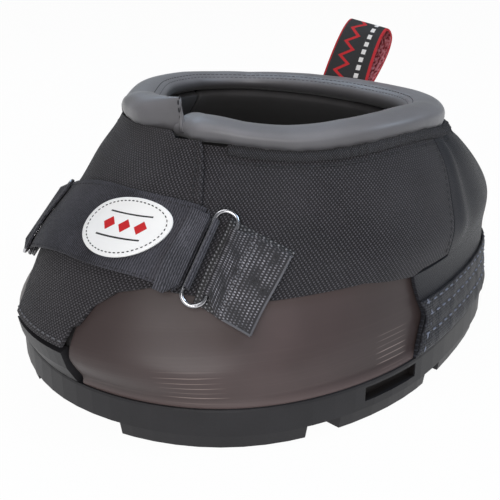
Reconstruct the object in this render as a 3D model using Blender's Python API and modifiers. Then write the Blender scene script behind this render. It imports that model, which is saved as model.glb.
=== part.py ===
"""Hoof boot for a large horse: a lugged rubber sole, hard side walls, a nylon upper with a padded collar,
a front flap closed by a strap that turns back through a wire ring, and a pull loop at the heel.

The toe points to -Y and +Z is up. Places on the boot's wall are an angle round the hoof, counted in degrees
from the toe towards +X, a height, and a distance out from the outer face of the nylon.
"""
import math

import bpy
from mathutils import Matrix, Vector

# Sole and hoof shape
SOLE_WIDTH = 0.1712
TOE_REACH = 0.0970
HEEL_REACH = 0.0980
SOLE_HEIGHT = 0.0153
SEAM_HEIGHT = 0.0900
SEAM_RISE = 0.0020
SEAM_WAVE = 0.0020
COLLAR_SETBACK = 0.0224
REST_GAP = 0.0003

# Points round the sole, the footbed and the label, and the angle past which an edge stays sharp
HOOF_SIDES = 72
LABEL_SIDES = 32
SHARP_ANGLE = 40.0

# The wave of the collar seam, as angle and share of its height
seam_wave_shares = (
    (0.0, 0.25), (20.0, 0.45), (47.0, -0.90), (84.0, 1.00), (116.0, 0.0), (300.0, 0.0), (324.0, -0.40),
    (345.0, 0.20), (360.0, 0.25),
)

# Tread, cut into the sole from below
LUG_HEIGHT = 0.0050
SOLE_TAPER = 0.0018
LUG_LEDGE = 0.0008
TREAD_GROOVE = 0.0120
KEEL_GROOVE = 0.0090
KEEL_OFFSET = 0.0225
BREAKOVER_WIDTH = 0.0500
BREAKOVER_DEPTH = 0.0240
CUT_OVERRUN = 0.0100
groove_place_shares = (-0.455, 0.115, 0.640)

# Drain pockets in the sole's sides
DRAIN_LENGTH = 0.0260
DRAIN_HEIGHT = 0.0054
DRAIN_DEPTH = 0.0030
DRAIN_BASE = 0.0082
DRAIN_ANGLE = 80.0

# Toe guard, moulded with the sole
GUARD_THICKNESS = 0.0034
GUARD_SINK = 0.0040
GUARD_INSET = 0.0006
GUARD_ANGLES = (-18.0, 5.6)
GUARD_TOP_SHARE = 0.181
GUARD_SEAM_GAP = 0.0022

# Layers of the upper
NYLON_THICKNESS = 0.0015
SHELL_THICKNESS = 0.0022
LINING_THICKNESS = 0.0046
BOARD_THICKNESS = 0.0025
FOOTBED_THICKNESS = 0.0060
HEEL_GUARD_THICKNESS = 0.0012
LAYER_GAP = 0.0008
LINING_GAP = 0.0008
SEAM_GAP_ANGLE = 0.4
LINING_GAP_ANGLE = 1.5
NYLON_TOP_DROP = 0.0002
LINING_TOP_DROP = 0.0008
LINING_FOOT_RISE = 0.0032
FOOTBED_ROOM_SHARE = 1.25

# Side walls: the window that shows them, as angle and share of the height from sole to seam
SHELL_LAP = 0.0040
SHELL_ANGLES = (7.0, 92.0)
window_top_shares = (
    (7.0, 0.300), (8.5, 0.317), (11.0, 0.404), (16.0, 0.471), (23.5, 0.498), (36.0, 0.460), (49.5, 0.431),
    (68.0, 0.455), (83.5, 0.411), (86.0, 0.430), (96.0, 0.430),
)
window_rear_shares = ((0.000, 87.3), (0.183, 90.0), (0.411, 83.5))
HEEL_LEDGE_SHARE = 0.417
heel_row_shares = (
    0.00, 0.08, 0.16, 0.24, 0.32, 0.411, 0.413, 0.415, 0.417, 0.50, 0.59, 0.68, 0.77, 0.86, 0.94, 1.00,
)
FAR_WINDOW_TURN = 11.8
SIDE_WALL_COLUMNS = 7

# Collar
COLLAR_HALF_WIDTH = 0.0080
COLLAR_HEIGHT = 0.0082
COLLAR_INSET = 0.0045
COLLAR_FRONT_ANGLE = 12.0
COLLAR_REAR_ANGLE = 326.9
COLLAR_END_ANGLES = (-32.2, 11.0)
COLLAR_END_SHIFT = 0.0040
COLLAR_END_RISE = 0.0022
COLLAR_END_ROUND = 0.0030
COLLAR_SIDES = 16
end_shares = (0.45, 0.80)
collar_height_shares = (
    (17.0, 0.96), (32.0, 0.84), (44.0, 0.89), (60.0, 1.00), (80.0, 0.92), (104.0, 1.15), (130.0, 1.20),
    (165.0, 1.12), (200.0, 1.03), (230.0, 0.85), (250.0, 0.89), (270.0, 0.99), (300.0, 1.07), (327.0, 1.15),
)
collar_end_height_shares = ((-32.0, 1.04), (-20.0, 1.16), (-10.0, 1.22), (0.0, 1.36), (10.0, 1.44))

# Front opening
FLAP_GAP = 0.0004
FLAP_THICKNESS = 0.0015
FLAP_LEFT_ANGLE = -29.2
FLAP_FOOT_SHARE = 0.566
FLAP_TOP_DROP = 0.0003
FLAP_RISE_ANGLES = (8.0, 11.0)
flap_edge_shares = ((0.566, 28.2), (0.793, 26.8), (0.900, 24.2), (1.000, 20.5))
TOE_TOP_SHARE = 0.548
TOE_LEFT_ANGLE = -45.0
INNER_FOOT_SHARE = 0.560
INNER_TOP_DROP = 0.0006
INNER_HINGE_ANGLE = 28.0
INNER_LEFT_ANGLE = -8.0
INNER_HINGE_GAP_ANGLE = 0.5
QUARTER_FRONT_ANGLE = 28.6
SIDE_SEAM_ANGLE = 96.0

# Strap and its rings
STRAP_THICKNESS = 0.0012
STRAP_GAP = 0.0004
STRAP_FOOT_SHARE = 0.478
STRAP_TOP_SHARE = 0.777
STRAP_ARCH = 0.0046
STRAP_FAR_DROP = 0.0055
ARCH_POWER = 4
ARCH_FOOT_SHARE = 0.40
BAR_ANGLE = 31.2
FAR_BAR_RISE = 0.0007
RING_SPAN = 0.0080
ring_bar_shares = (0.13, 0.93)
RING_WIRE_RADIUS = 0.0010
RING_END_CLEARANCE = 0.0004
FOLD_CLEARANCE = 0.0006
BAND_END_ANGLE = 28.6
TAB_END_ANGLE = 25.2
TAB_ROOT_ANGLE = 27.6
FAR_FOLD_END_ANGLE = 24.5
PAD_THICKNESS = 0.0009
PAD_EDGE_SHARE = 0.12
LABEL_THICKNESS = 0.0009
LABEL_ANGLES = (-2.0, 22.6)
LABEL_HEIGHT_SHARES = (0.613, 0.823)
LABEL_TILT = 0.0006
label_ring_shares = (0.34, 0.68, 1.00)

# Ring keepers and their base patches
KEEPER_THICKNESS = 0.0010
BASE_THICKNESS = 0.0008
PATCH_GAP = 0.0005
KEEPER_CLEARANCE = 0.0004
KEEPER_DROP = 0.0125
KEEPER_LEAN = 3.0
KEEPER_TAIL_ANGLES = (40.6, 48.6)
KEEPER_FOLD_END = 60.0
BASE_ANGLES = (34.6, 50.0)
KEEPER_EDGE_SHARE = 0.06

# Heel guard
HEEL_GUARD_SETBACK_ANGLE = 1.5
heel_guard_row_shares = (0.020, 0.080, 0.140, 0.205, 0.270)

# Pull loop
LOOP_ANGLE = 187.0
LOOP_WIDTH = 0.0245
LOOP_LENGTH = 0.0385
LOOP_SLANT_SHARE = 0.11
LOOP_TAPER_SHARE = 0.10
LOOP_BULGE = 0.0042
LOOP_THICKNESS = 0.0013
LOOP_ROOT_GAP = 0.0005
LOOP_LEAN = 43.0
LOOP_HINGE_RISE = 0.0016
LOOP_SEAT_GAP = 0.0006
LOOP_TAIL_LENGTH = 0.0150
LOOP_TAIL_THICKNESS = 0.0022
loop_shape_shares = ((0.00, 0.0), (0.12, 0.25), (0.32, 0.62), (0.55, 0.92), (0.75, 1.0), (0.90, 0.80), (0.975, 0.42))

# Small moves for measuring the wall's direction
NORMAL_STEP_SHARE = 0.05
NORMAL_STEP_ANGLE = 0.6

# Sections of the hoof shape from the sole's rim up: height share, half width share, toe share, heel share,
# toe squareness, heel squareness
wall_shares = (
    (0.000, 1.000, 1.000, 1.000, 2.10, 2.92),
    (0.170, 0.973, 1.060, 1.086, 2.02, 2.56),
    (0.357, 0.950, 0.991, 1.135, 1.80, 2.44),
    (0.545, 0.960, 0.893, 1.108, 1.58, 2.46),
    (0.705, 0.920, 0.749, 0.985, 1.56, 2.58),
    (0.866, 0.865, 0.644, 0.835, 1.58, 2.48),
    (1.000, 0.783, 0.548, 0.725, 1.61, 2.18),
    (1.190, 0.709, 0.456, 0.680, 1.61, 2.06),
)


# Shape of the hoof wall

def smooth_row(share):
    """The sections' five values at a height share, on a smooth curve through the table."""
    rows = wall_shares
    share = min(max(share, rows[0][0]), rows[-1][0])
    k = max(i for i in range(len(rows) - 1) if rows[i][0] <= share)
    low, high = rows[k], rows[k + 1]
    before, after = rows[max(k - 1, 0)], rows[min(k + 2, len(rows) - 1)]
    span = high[0] - low[0]
    t = (share - low[0]) / span
    values = []
    for i in range(1, len(low)):
        slope_low = (high[i] - before[i]) / (high[0] - before[0]) * span
        slope_high = (after[i] - low[i]) / (after[0] - low[0]) * span
        values.append(low[i] * (2 * t**3 - 3 * t**2 + 1) + high[i] * (3 * t**2 - 2 * t**3)
                      + slope_low * (t**3 - 2 * t**2 + t) + slope_high * (t**3 - t**2))
    return values


def height_at(share):
    """Height of a share of the way from the sole's rim to the collar seam."""
    return SOLE_HEIGHT + share * (SEAM_HEIGHT - SOLE_HEIGHT)


def share_at(height):
    return (height - SOLE_HEIGHT) / (SEAM_HEIGHT - SOLE_HEIGHT)


def level_wall(angle, height, out=0.0):
    """The point of the wall at an angle and a height, moved out on the level."""
    share = share_at(height)
    width, toe, heel, toe_power, heel_power = smooth_row(share)
    turn = math.radians(angle)
    s, c = math.sin(turn), math.cos(turn)
    middle = COLLAR_SETBACK * min(max(share, 0), 1)
    if c > 0:
        reach, corner_power = TOE_REACH * toe + middle + out, toe_power
    else:
        reach, corner_power = HEEL_REACH * heel - middle + out, heel_power
    power = 2 + (corner_power - 2) * math.sin(2 * turn) ** 2
    x = (SOLE_WIDTH / 2 * width + out) * math.copysign(abs(s) ** (2 / power), s)
    y = middle - reach * math.copysign(abs(c) ** (2 / power), c)
    return Vector((x, y, height))


def wall_normal(angle, height):
    """The wall's outward direction."""
    rise = SOLE_HEIGHT * NORMAL_STEP_SHARE
    round_it = level_wall(angle + NORMAL_STEP_ANGLE, height) - level_wall(angle - NORMAL_STEP_ANGLE, height)
    up_it = level_wall(angle, height + rise) - level_wall(angle, height)
    return round_it.cross(up_it).normalized()


def wall(angle, height, out=0.0):
    """The point at an angle and a height on the surface that lies out from the nylon's outer face."""
    foot = height
    for _ in range(3):
        foot = height - out * wall_normal(angle, foot).z
    return level_wall(angle, foot) + wall_normal(angle, foot) * out


def ease(t):
    """A smooth step from 0 to 1."""
    t = min(max(t, 0), 1)
    return t * t * (3 - 2 * t)


def seam_wave(angle):
    """A smooth curve through the seam's highest and lowest places."""
    turn = angle % 360
    for (a, low), (b, high) in zip(seam_wave_shares, seam_wave_shares[1:]):
        if turn <= b:
            return SEAM_WAVE * (low + (high - low) * ease((turn - a) / (b - a)))


def seam_height(angle):
    """The collar seam climbs towards the toe, in a slow wave."""
    return SEAM_HEIGHT + SEAM_RISE * math.cos(math.radians(angle)) + seam_wave(angle)


def nylon_top(angle):
    return seam_height(angle) - NYLON_TOP_DROP


def along(table, place):
    """Straight-line value of a table of pairs at a place."""
    if place <= table[0][0]:
        return table[0][1]
    for (a, low), (b, high) in zip(table, table[1:]):
        if place <= b:
            return low + (high - low) * (place - a) / (b - a)
    return table[-1][1]


def steps(start, end, count):
    return [start + (end - start) * i / count for i in range(count + 1)]


# Scene, materials and mesh helpers

def clear_scene():
    for item in list(bpy.data.objects):
        bpy.data.objects.remove(item)


def new_collection(name):
    group = bpy.data.collections.new(name)
    bpy.context.scene.collection.children.link(group)
    return group


def finish(name, colour, roughness, metallic=0.0):
    """A plain material with one colour."""
    material = bpy.data.materials.new(name)
    material.use_nodes = True
    shader = material.node_tree.nodes["Principled BSDF"]
    shader.inputs["Base Color"].default_value = (*colour, 1)
    shader.inputs["Roughness"].default_value = roughness
    shader.inputs["Metallic"].default_value = metallic
    material.diffuse_color = (*colour, 1)
    return material


def mesh_object(name, points, faces, material, group):
    mesh = bpy.data.meshes.new(name)
    mesh.from_pydata([tuple(p) for p in points], [], faces)
    mesh.materials.append(material)
    mesh.shade_smooth()
    mesh.set_sharp_from_angle(angle=math.radians(SHARP_ANGLE))
    item = bpy.data.objects.new(name, mesh)
    group.objects.link(item)
    return item


def sheet(name, rows, thickness, offset, material, group):
    """A piece of cloth, webbing or board: an open surface through rows of points, thickened.

    An offset of -1 puts the thickness inside the surface, 1 outside it and 0 half each way.
    """
    columns = len(rows[0])
    points = [point for row in rows for point in row]
    faces = []
    for r in range(len(rows) - 1):
        for c in range(columns - 1):
            a = r * columns + c
            faces.append((a, a + 1, a + columns + 1, a + columns))
    item = mesh_object(name, points, faces, material, group)
    solid = item.modifiers.new("Thickness", "SOLIDIFY")
    solid.thickness = thickness
    solid.offset = offset
    return item


def panel(name, angles, foot, top, out, thickness, material, group, rows=7):
    """A sheet on the wall between two height functions of the angle."""
    grid = []
    for t in steps(0, 1, rows):
        grid.append([wall(a, foot(a) + (top(a) - foot(a)) * t, out) for a in angles])
    return sheet(name, grid, thickness, -1, material, group)


def loft(name, rings, material, group):
    """A solid through closed rings of points, from the bottom ring up, with flat ends."""
    count = len(rings[0])
    points = [point for ring in rings for point in ring]
    faces = [tuple(reversed(range(count)))]
    for r in range(len(rings) - 1):
        for i in range(count):
            j = (i + 1) % count
            faces.append((r * count + i, r * count + j, (r + 1) * count + j, (r + 1) * count + i))
    faces.append(tuple(range((len(rings) - 1) * count, len(rings) * count)))
    return mesh_object(name, points, faces, material, group)


def tube(name, path, radius, cyclic, material, group, resolution=2):
    """A round tube along points."""
    curve = bpy.data.curves.new(name, "CURVE")
    curve.dimensions = "3D"
    curve.bevel_depth = radius
    curve.bevel_resolution = resolution
    curve.use_fill_caps = True
    spline = curve.splines.new("POLY")
    spline.points.add(len(path) - 1)
    for place, point in zip(path, spline.points):
        point.co = (*place, 1)
    spline.use_cyclic_u = cyclic
    curve.materials.append(material)
    item = bpy.data.objects.new(name, curve)
    group.objects.link(item)
    return item


def cutter_box(name, size, place, turn, group):
    bpy.ops.mesh.primitive_cube_add(size=1, location=place, rotation=(0, 0, turn))
    item = bpy.context.object
    item.name = name
    item.scale = size
    bpy.ops.object.transform_apply(location=False, rotation=False, scale=True)
    for owner in list(item.users_collection):
        owner.objects.unlink(item)
    group.objects.link(item)
    item.hide_render = True
    item.display_type = "WIRE"
    return item


def join_by(item, tool, operation):
    boolean = item.modifiers.new(tool.name, "BOOLEAN")
    boolean.operation = operation
    boolean.object = tool
    boolean.solver = "EXACT"


def hang_on(name, place, axis, items, group):
    """Parents pieces to an empty that stands on their joint's axis."""
    empty = bpy.data.objects.new(name, None)
    empty.empty_display_size = SOLE_HEIGHT
    group.objects.link(empty)
    pose = Matrix.Translation(place) @ Vector(axis).to_track_quat("Z", "Y").to_matrix().to_4x4()
    empty.matrix_world = pose
    for item in items:
        item.parent = empty
        item.matrix_parent_inverse = pose.inverted()
    return empty


# Sole

def hoof_ring(height, inset):
    """A level ring of points, inset from the wall at this height, or from the sole's rim below it."""
    ring = []
    for angle in steps(0, 360, HOOF_SIDES)[:-1]:
        point = level_wall(angle, height, -inset)
        ring.append(Vector((point.x, point.y, height)))
    return ring


def make_outsole(parts, cutters):
    rubber = finish("rubber_black", (0.030, 0.030, 0.032), 0.55)
    ledge = LUG_HEIGHT + LUG_LEDGE / 2
    shoulder = SOLE_HEIGHT - LUG_LEDGE
    rings = [
        hoof_ring(0, SOLE_TAPER),
        hoof_ring(LUG_HEIGHT, SOLE_TAPER - LUG_LEDGE),
        hoof_ring(ledge, SOLE_TAPER - 2 * LUG_LEDGE),
        hoof_ring(shoulder, LUG_LEDGE / 4),
        hoof_ring(SOLE_HEIGHT, LUG_LEDGE / 2),
    ]
    sole = loft("outsole", rings, rubber, parts)
    deep = 2 * LUG_HEIGHT
    for i, share in enumerate(groove_place_shares):
        size = (SOLE_WIDTH + CUT_OVERRUN, TREAD_GROOVE, deep)
        join_by(sole, cutter_box(f"cut_tread_{i + 1}", size, (0, share * HEEL_REACH, 0), 0, cutters), "DIFFERENCE")
    toe_y = -TOE_REACH + BREAKOVER_DEPTH / 2 - CUT_OVERRUN / 2
    toe_size = (BREAKOVER_WIDTH, BREAKOVER_DEPTH + CUT_OVERRUN, deep)
    join_by(sole, cutter_box("cut_breakover", toe_size, (0, toe_y, 0), 0, cutters), "DIFFERENCE")
    keel_length = TOE_REACH + HEEL_REACH - BREAKOVER_DEPTH + CUT_OVERRUN
    keel_y = -TOE_REACH + BREAKOVER_DEPTH - CUT_OVERRUN / 2 + keel_length / 2
    keel_size = (KEEL_GROOVE, keel_length, deep)
    for side, place in (("right", KEEL_OFFSET), ("left", -KEEL_OFFSET)):
        join_by(sole, cutter_box(f"cut_keel_{side}", keel_size, (place, keel_y, 0), 0, cutters), "DIFFERENCE")
    for side, angle in (("right", DRAIN_ANGLE), ("left", -DRAIN_ANGLE)):
        face = wall(angle, SOLE_HEIGHT)
        ahead = wall(angle + 1, SOLE_HEIGHT) - wall(angle - 1, SOLE_HEIGHT)
        turn = math.atan2(ahead.y, ahead.x)
        place = (face.x, face.y, DRAIN_BASE + DRAIN_HEIGHT / 2)
        size = (DRAIN_LENGTH, 2 * DRAIN_DEPTH + SOLE_TAPER, DRAIN_HEIGHT)
        join_by(sole, cutter_box(f"cut_drain_{side}", size, place, turn, cutters), "DIFFERENCE")
    guard = toe_guard(cutters)
    join_by(sole, guard, "UNION")


def toe_guard(cutters):
    """The raised wall round the toe, joined to the sole."""
    rubber = bpy.data.materials["rubber_black"]
    grid = []
    for height in (SOLE_HEIGHT - GUARD_SINK, SOLE_HEIGHT, height_at(GUARD_TOP_SHARE / 2), height_at(GUARD_TOP_SHARE)):
        grid.append([wall(a, height, -GUARD_INSET) for a in steps(*GUARD_ANGLES, 8)])
    guard = sheet("join_toe_guard", grid, GUARD_THICKNESS, -1, rubber, cutters)
    guard.hide_render = True
    guard.display_type = "WIRE"
    return guard


def make_footbed(parts):
    board = finish("board_grey", (0.10, 0.10, 0.10), 0.8)
    foam = finish("foam_black", (0.025, 0.025, 0.025), 0.9)
    inside = NYLON_THICKNESS + SHELL_THICKNESS + LAYER_GAP + LINING_GAP
    low = SOLE_HEIGHT + REST_GAP
    edge = (inside + LAYER_GAP) * FOOTBED_ROOM_SHARE
    loft("insole_board", [hoof_ring(low, edge), hoof_ring(low + BOARD_THICKNESS, edge)], board, parts)
    low += BOARD_THICKNESS + REST_GAP
    edge = (inside + LINING_THICKNESS + LAYER_GAP) * FOOTBED_ROOM_SHARE
    loft("footbed_pad", [hoof_ring(low, edge), hoof_ring(low + FOOTBED_THICKNESS, edge)], foam, parts)


# Upper

def window_top(angle):
    return height_at(along(window_top_shares, angle))


def far_turn():
    """How much of a degree the far window's angles shrink by, for each degree."""
    return FAR_WINDOW_TURN / (SHELL_ANGLES[1] - SHELL_ANGLES[0])


def far(angle):
    """The far side's window is the near side's mirrored, with its front edge moved on to clear the toe guard."""
    return -(angle + far_turn() * (SHELL_ANGLES[1] - angle))


def near_side(angle):
    """The near side's angle that far() takes to this one."""
    return (-angle - far_turn() * SHELL_ANGLES[1]) / (1 - far_turn())


def make_side_walls(parts):
    """Hard walls behind the nylon, seen through its windows."""
    brown = finish("hard_wall_brown", (0.082, 0.058, 0.052), 0.35)
    out = -(NYLON_THICKNESS + LAYER_GAP)
    low = SOLE_HEIGHT + LAYER_GAP
    front = [angle for angle, _ in window_top_shares if angle < QUARTER_FRONT_ANGLE]
    rear = window_rear_shares[-1][1]
    near = front + steps(QUARTER_FRONT_ANGLE, rear, SIDE_WALL_COLUMNS)[:-1] + steps(rear, SHELL_ANGLES[1], 3)
    panel("side_wall_right", near, lambda a: low, lambda a: window_top(a) + SHELL_LAP,
          out, SHELL_THICKNESS, brown, parts, 7)
    away = [far(a) for a in reversed(near)]
    panel("side_wall_left", away, lambda a: low, lambda a: window_top(near_side(a)) + SHELL_LAP,
          out, SHELL_THICKNESS, brown, parts, 7)


def make_toe_panel(parts):
    """Nylon over the toe, from the guard up to the foot of the flap."""
    nylon = finish("nylon_black", (0.028, 0.028, 0.032), 0.7)
    guard_top = height_at(GUARD_TOP_SHARE) + GUARD_SEAM_GAP
    low, high = GUARD_ANGLES
    front = [angle for angle, _ in window_top_shares if angle < QUARTER_FRONT_ANGLE]
    angles = [TOE_LEFT_ANGLE + 2 * SEAM_GAP_ANGLE] + [far(angle) for angle in reversed(front)]
    angles += steps(low, high, 7) + front + [QUARTER_FRONT_ANGLE - SEAM_GAP_ANGLE]

    def foot(angle):
        if low <= angle <= high:
            return guard_top
        return window_top(angle if angle > 0 else near_side(angle))

    panel("toe_panel", angles, foot, lambda a: height_at(TOE_TOP_SHARE), 0.0, NYLON_THICKNESS, nylon, parts, 6)


def make_quarters(parts):
    """Nylon sides above the windows."""
    nylon = bpy.data.materials["nylon_black"]
    near = steps(QUARTER_FRONT_ANGLE, SIDE_SEAM_ANGLE, 13)
    panel("quarter_right", near, window_top, nylon_top,
          0.0, NYLON_THICKNESS, nylon, parts, 8)
    away = steps(-SIDE_SEAM_ANGLE, TOE_LEFT_ANGLE, 10)
    away += steps(TOE_LEFT_ANGLE + SEAM_GAP_ANGLE, FLAP_LEFT_ANGLE - SEAM_GAP_ANGLE, 3)

    def foot(angle):
        over_toe = angle > TOE_LEFT_ANGLE
        return height_at(TOE_TOP_SHARE) + REST_GAP if over_toe else window_top(near_side(angle))

    panel("quarter_left", away, foot, nylon_top,
          0.0, NYLON_THICKNESS, nylon, parts, 8)


def make_heel_panel(parts):
    """Nylon round the heel, its lower part reaching forward to the windows' rear edges."""
    nylon = bpy.data.materials["nylon_black"]
    low = SOLE_HEIGHT + REST_GAP
    front_edge = window_rear_shares + ((HEEL_LEDGE_SHARE, SIDE_SEAM_ANGLE + SEAM_GAP_ANGLE),)
    grid = []
    for share in heel_row_shares:
        start = along(front_edge, share)
        row = []
        for angle in steps(start, 360 - start, 36):
            above = max(0, share - HEEL_LEDGE_SHARE) / (1 - HEEL_LEDGE_SHARE)
            height = max(low, height_at(share)) + (nylon_top(angle) - SEAM_HEIGHT) * above
            row.append(wall(angle, height, 0.0))
        grid.append(row)
    sheet("heel_panel", grid, NYLON_THICKNESS, -1, nylon, parts)


def make_heel_guard(parts):
    """A stitched wear patch wrapped round the lower heel."""
    patch = finish("heel_patch_black", (0.022, 0.022, 0.026), 0.6)
    grid = []
    for share in heel_guard_row_shares:
        start = along(window_rear_shares, share) + HEEL_GUARD_SETBACK_ANGLE
        angles = steps(start, 360 - start, 30)
        grid.append([wall(a, height_at(share), PATCH_GAP + HEEL_GUARD_THICKNESS) for a in angles])
    sheet("heel_guard", grid, HEEL_GUARD_THICKNESS, -1, patch, parts)


def make_lining(parts):
    """Padded lining in four pieces that meet in the corners."""
    cloth = finish("lining_grey", (0.055, 0.055, 0.060), 0.85)
    out = -(NYLON_THICKNESS + SHELL_THICKNESS + LAYER_GAP + LINING_GAP)
    low = SOLE_HEIGHT + BOARD_THICKNESS + LINING_FOOT_RISE
    gap = LINING_GAP_ANGLE
    edge = QUARTER_FRONT_ANGLE + gap
    toe_top = height_at(TOE_TOP_SHARE)

    def high(angle):
        return seam_height(angle) - LINING_TOP_DROP

    panel("lining_toe", steps(-edge + gap, edge - gap, 8), lambda a: low, lambda a: toe_top,
          out, LINING_THICKNESS, cloth, parts, 5)
    panel("lining_right", steps(edge, SIDE_SEAM_ANGLE, 10), lambda a: low, high,
          out, LINING_THICKNESS, cloth, parts, 6)
    panel("lining_left", steps(-SIDE_SEAM_ANGLE, -edge - 2 * gap, 10), lambda a: low, high,
          out, LINING_THICKNESS, cloth, parts, 6)
    panel("lining_heel", steps(SIDE_SEAM_ANGLE + gap, 360 - SIDE_SEAM_ANGLE - gap, 22), lambda a: low, high,
          out, LINING_THICKNESS, cloth, parts, 6)


def collar_ring(angle, size, shift, rise, height_shares):
    """One oval section of the roll, standing on the seam, its points going round from the top outwards."""
    height = COLLAR_HEIGHT * along(height_shares, angle) * size
    level = seam_height(angle) + rise + height / 2
    width = COLLAR_HALF_WIDTH * (1 + size) / 2
    centre = level_wall(angle, level, shift - COLLAR_INSET)
    ahead = level_wall(angle + NORMAL_STEP_ANGLE, level) - level_wall(angle - NORMAL_STEP_ANGLE, level)
    outward = ahead.cross(Vector((0, 0, 1))).normalized()
    ring = []
    for turn in steps(0, 2 * math.pi, COLLAR_SIDES)[:-1]:
        ring.append(centre + outward * width * math.sin(turn) + Vector((0, 0, height / 2 * math.cos(turn))))
    return ring


def make_roll(name, angles, shift_at, rise, height_shares, parts):
    """A padded roll with rounded ends."""
    soft = bpy.data.materials["collar_grey"]
    turn = math.degrees(COLLAR_END_ROUND / (SOLE_WIDTH / 2))
    first, last = angles[0], angles[-1]
    places = [(first, end_shares[0]), (first + turn * end_shares[0], end_shares[1])]
    places += [(angle, 1.0) for angle in [first + turn] + angles[1:-1] + [last - turn]]
    places += [(last - turn * end_shares[0], end_shares[1]), (last, end_shares[0])]
    rings = [collar_ring(angle, size, shift_at(angle), rise, height_shares) for angle, size in places]
    return loft(name, rings, soft, parts)


def make_collar(parts):
    """The padded roll round the top, from the right of the opening round the heel to the flap's hinge."""
    finish("collar_grey", (0.13, 0.13, 0.14), 0.75)
    angles = steps(COLLAR_FRONT_ANGLE, COLLAR_REAR_ANGLE, 46)
    make_roll("collar_roll", angles, lambda angle: 0, 0, collar_height_shares, parts)


# Front flaps

def flap_top(angle):
    """The flap's top edge, raised under the collar's end and low beside it."""
    start, end = FLAP_RISE_ANGLES
    raised = 1 - ease((angle - start) / (end - start))
    return seam_height(angle) - FLAP_TOP_DROP + COLLAR_END_RISE * raised


def make_front_flap(parts):
    """Outer flap of nylon over foam, hinged at its left edge."""
    nylon = bpy.data.materials["nylon_black"]
    out = FLAP_GAP + FLAP_THICKNESS
    foot = height_at(FLAP_FOOT_SHARE)
    grid = []
    for t in steps(0, 1, 8):
        edge = along(flap_edge_shares, FLAP_FOOT_SHARE + (1 - FLAP_FOOT_SHARE) * t)
        angles = steps(FLAP_LEFT_ANGLE, edge, 14)
        grid.append([wall(a, foot + (flap_top(a) - foot) * t, out) for a in angles])
    sheet("front_flap", grid, FLAP_THICKNESS, -1, nylon, parts)


def make_front_collar(parts):
    """The collar's end on the front flap, lifted clear of the inner flap towards its tip."""
    left, right = COLLAR_END_ANGLES

    def shift(angle):
        return COLLAR_END_SHIFT * ease((angle - left) / (right - left))

    make_roll("front_collar_end", steps(left, right, 12), shift, COLLAR_END_RISE, collar_end_height_shares, parts)


def make_inner_flap(parts):
    """Inner flap under the outer one, hinged at its right edge."""
    nylon = bpy.data.materials["nylon_black"]
    right = INNER_HINGE_ANGLE - INNER_HINGE_GAP_ANGLE
    low = height_at(INNER_FOOT_SHARE)
    panel("inner_flap", steps(INNER_LEFT_ANGLE, right, 10), lambda a: low, lambda a: nylon_top(a) - INNER_TOP_DROP,
          0.0, NYLON_THICKNESS, nylon, parts, 6)


# Strap, rings and keepers

def strap_middle():
    """How far out the middle of the strap's lower layer lies."""
    return FLAP_GAP + FLAP_THICKNESS + STRAP_GAP + STRAP_THICKNESS / 2


def fold_radius():
    return RING_WIRE_RADIUS + FOLD_CLEARANCE + STRAP_THICKNESS / 2


def keeper_radius():
    return RING_WIRE_RADIUS + KEEPER_CLEARANCE + KEEPER_THICKNESS / 2


def bar_out():
    """How far out a ring's inner bar lies: the strap goes under it beside the flap, on the nylon."""
    return PATCH_GAP + STRAP_THICKNESS / 2 + fold_radius()


def keeper_middle():
    """How far out the middle of a keeper's lower layer lies."""
    return PATCH_GAP + BASE_THICKNESS + STRAP_GAP + KEEPER_THICKNESS / 2


class RingPlace:
    """Where a ring lies on one side: its two bars' lines and its own directions."""

    def __init__(self, side, rise):
        self.side = side
        low, high = [strap_height(share, side * BAR_ANGLE) for share in ring_bar_shares]
        self.foot = wall(side * BAR_ANGLE, low, bar_out() + rise)
        self.top = wall(side * BAR_ANGLE, high, bar_out() + rise)
        self.middle = (self.foot + self.top) / 2
        self.up = (self.top - self.foot).normalized()
        self.span = RING_SPAN
        near_angle, far_angle = BAR_ANGLE, BASE_ANGLES[1]
        for _ in range(20):
            angle = (near_angle + far_angle) / 2
            away = wall(side * angle, (low + high) / 2, keeper_middle() + keeper_radius()) - self.middle
            away -= self.up * away.dot(self.up)
            if away.length < RING_SPAN:
                near_angle = angle
            else:
                far_angle = angle
        self.away = away.normalized()
        self.out = self.away.cross(self.up) * side
        self.length = (self.top - self.foot).length

    def inner_bar(self, t):
        """A point on the bar nearest the toe, t from foot to top."""
        return self.foot + (self.top - self.foot) * t

    def outer_bar(self, t):
        return self.inner_bar(t) + self.away * self.span


def make_ring(name, place, parts):
    """A wire ring: two straight bars and two round ends."""
    steel = bpy.data.materials["steel_dark"]
    straight = place.length / 2 + RING_END_CLEARANCE
    bend = place.span / 2
    centre = place.middle + place.away * bend
    path = []
    for end, start_angle in ((1, 0), (-1, 180)):
        for angle in steps(start_angle, start_angle + 180, 8):
            turn = math.radians(angle)
            along_ring = place.up * (end * straight + bend * math.sin(turn))
            path.append(centre + place.away * bend * math.cos(turn) + along_ring)
    tube(name, path, RING_WIRE_RADIUS, True, steel, parts, 2)


def level_rows(place, points_at, edge_share=0.0, count=4):
    """Rows of points across the strap's width, ordered so that the surface faces out."""
    rows = []
    for t in steps(edge_share, 1 - edge_share, count):
        line = points_at(t)
        rows.append(line if place.side > 0 else list(reversed(line)))
    return rows


def arc_points(centre, place, radius, start, end, count):
    """Points round a bar in the plane of away and out, angles counted from away towards out."""
    points = []
    for angle in steps(start, end, count):
        turn = math.radians(angle)
        points.append(centre + place.away * radius * math.cos(turn) + place.out * radius * math.sin(turn))
    return points


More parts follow.
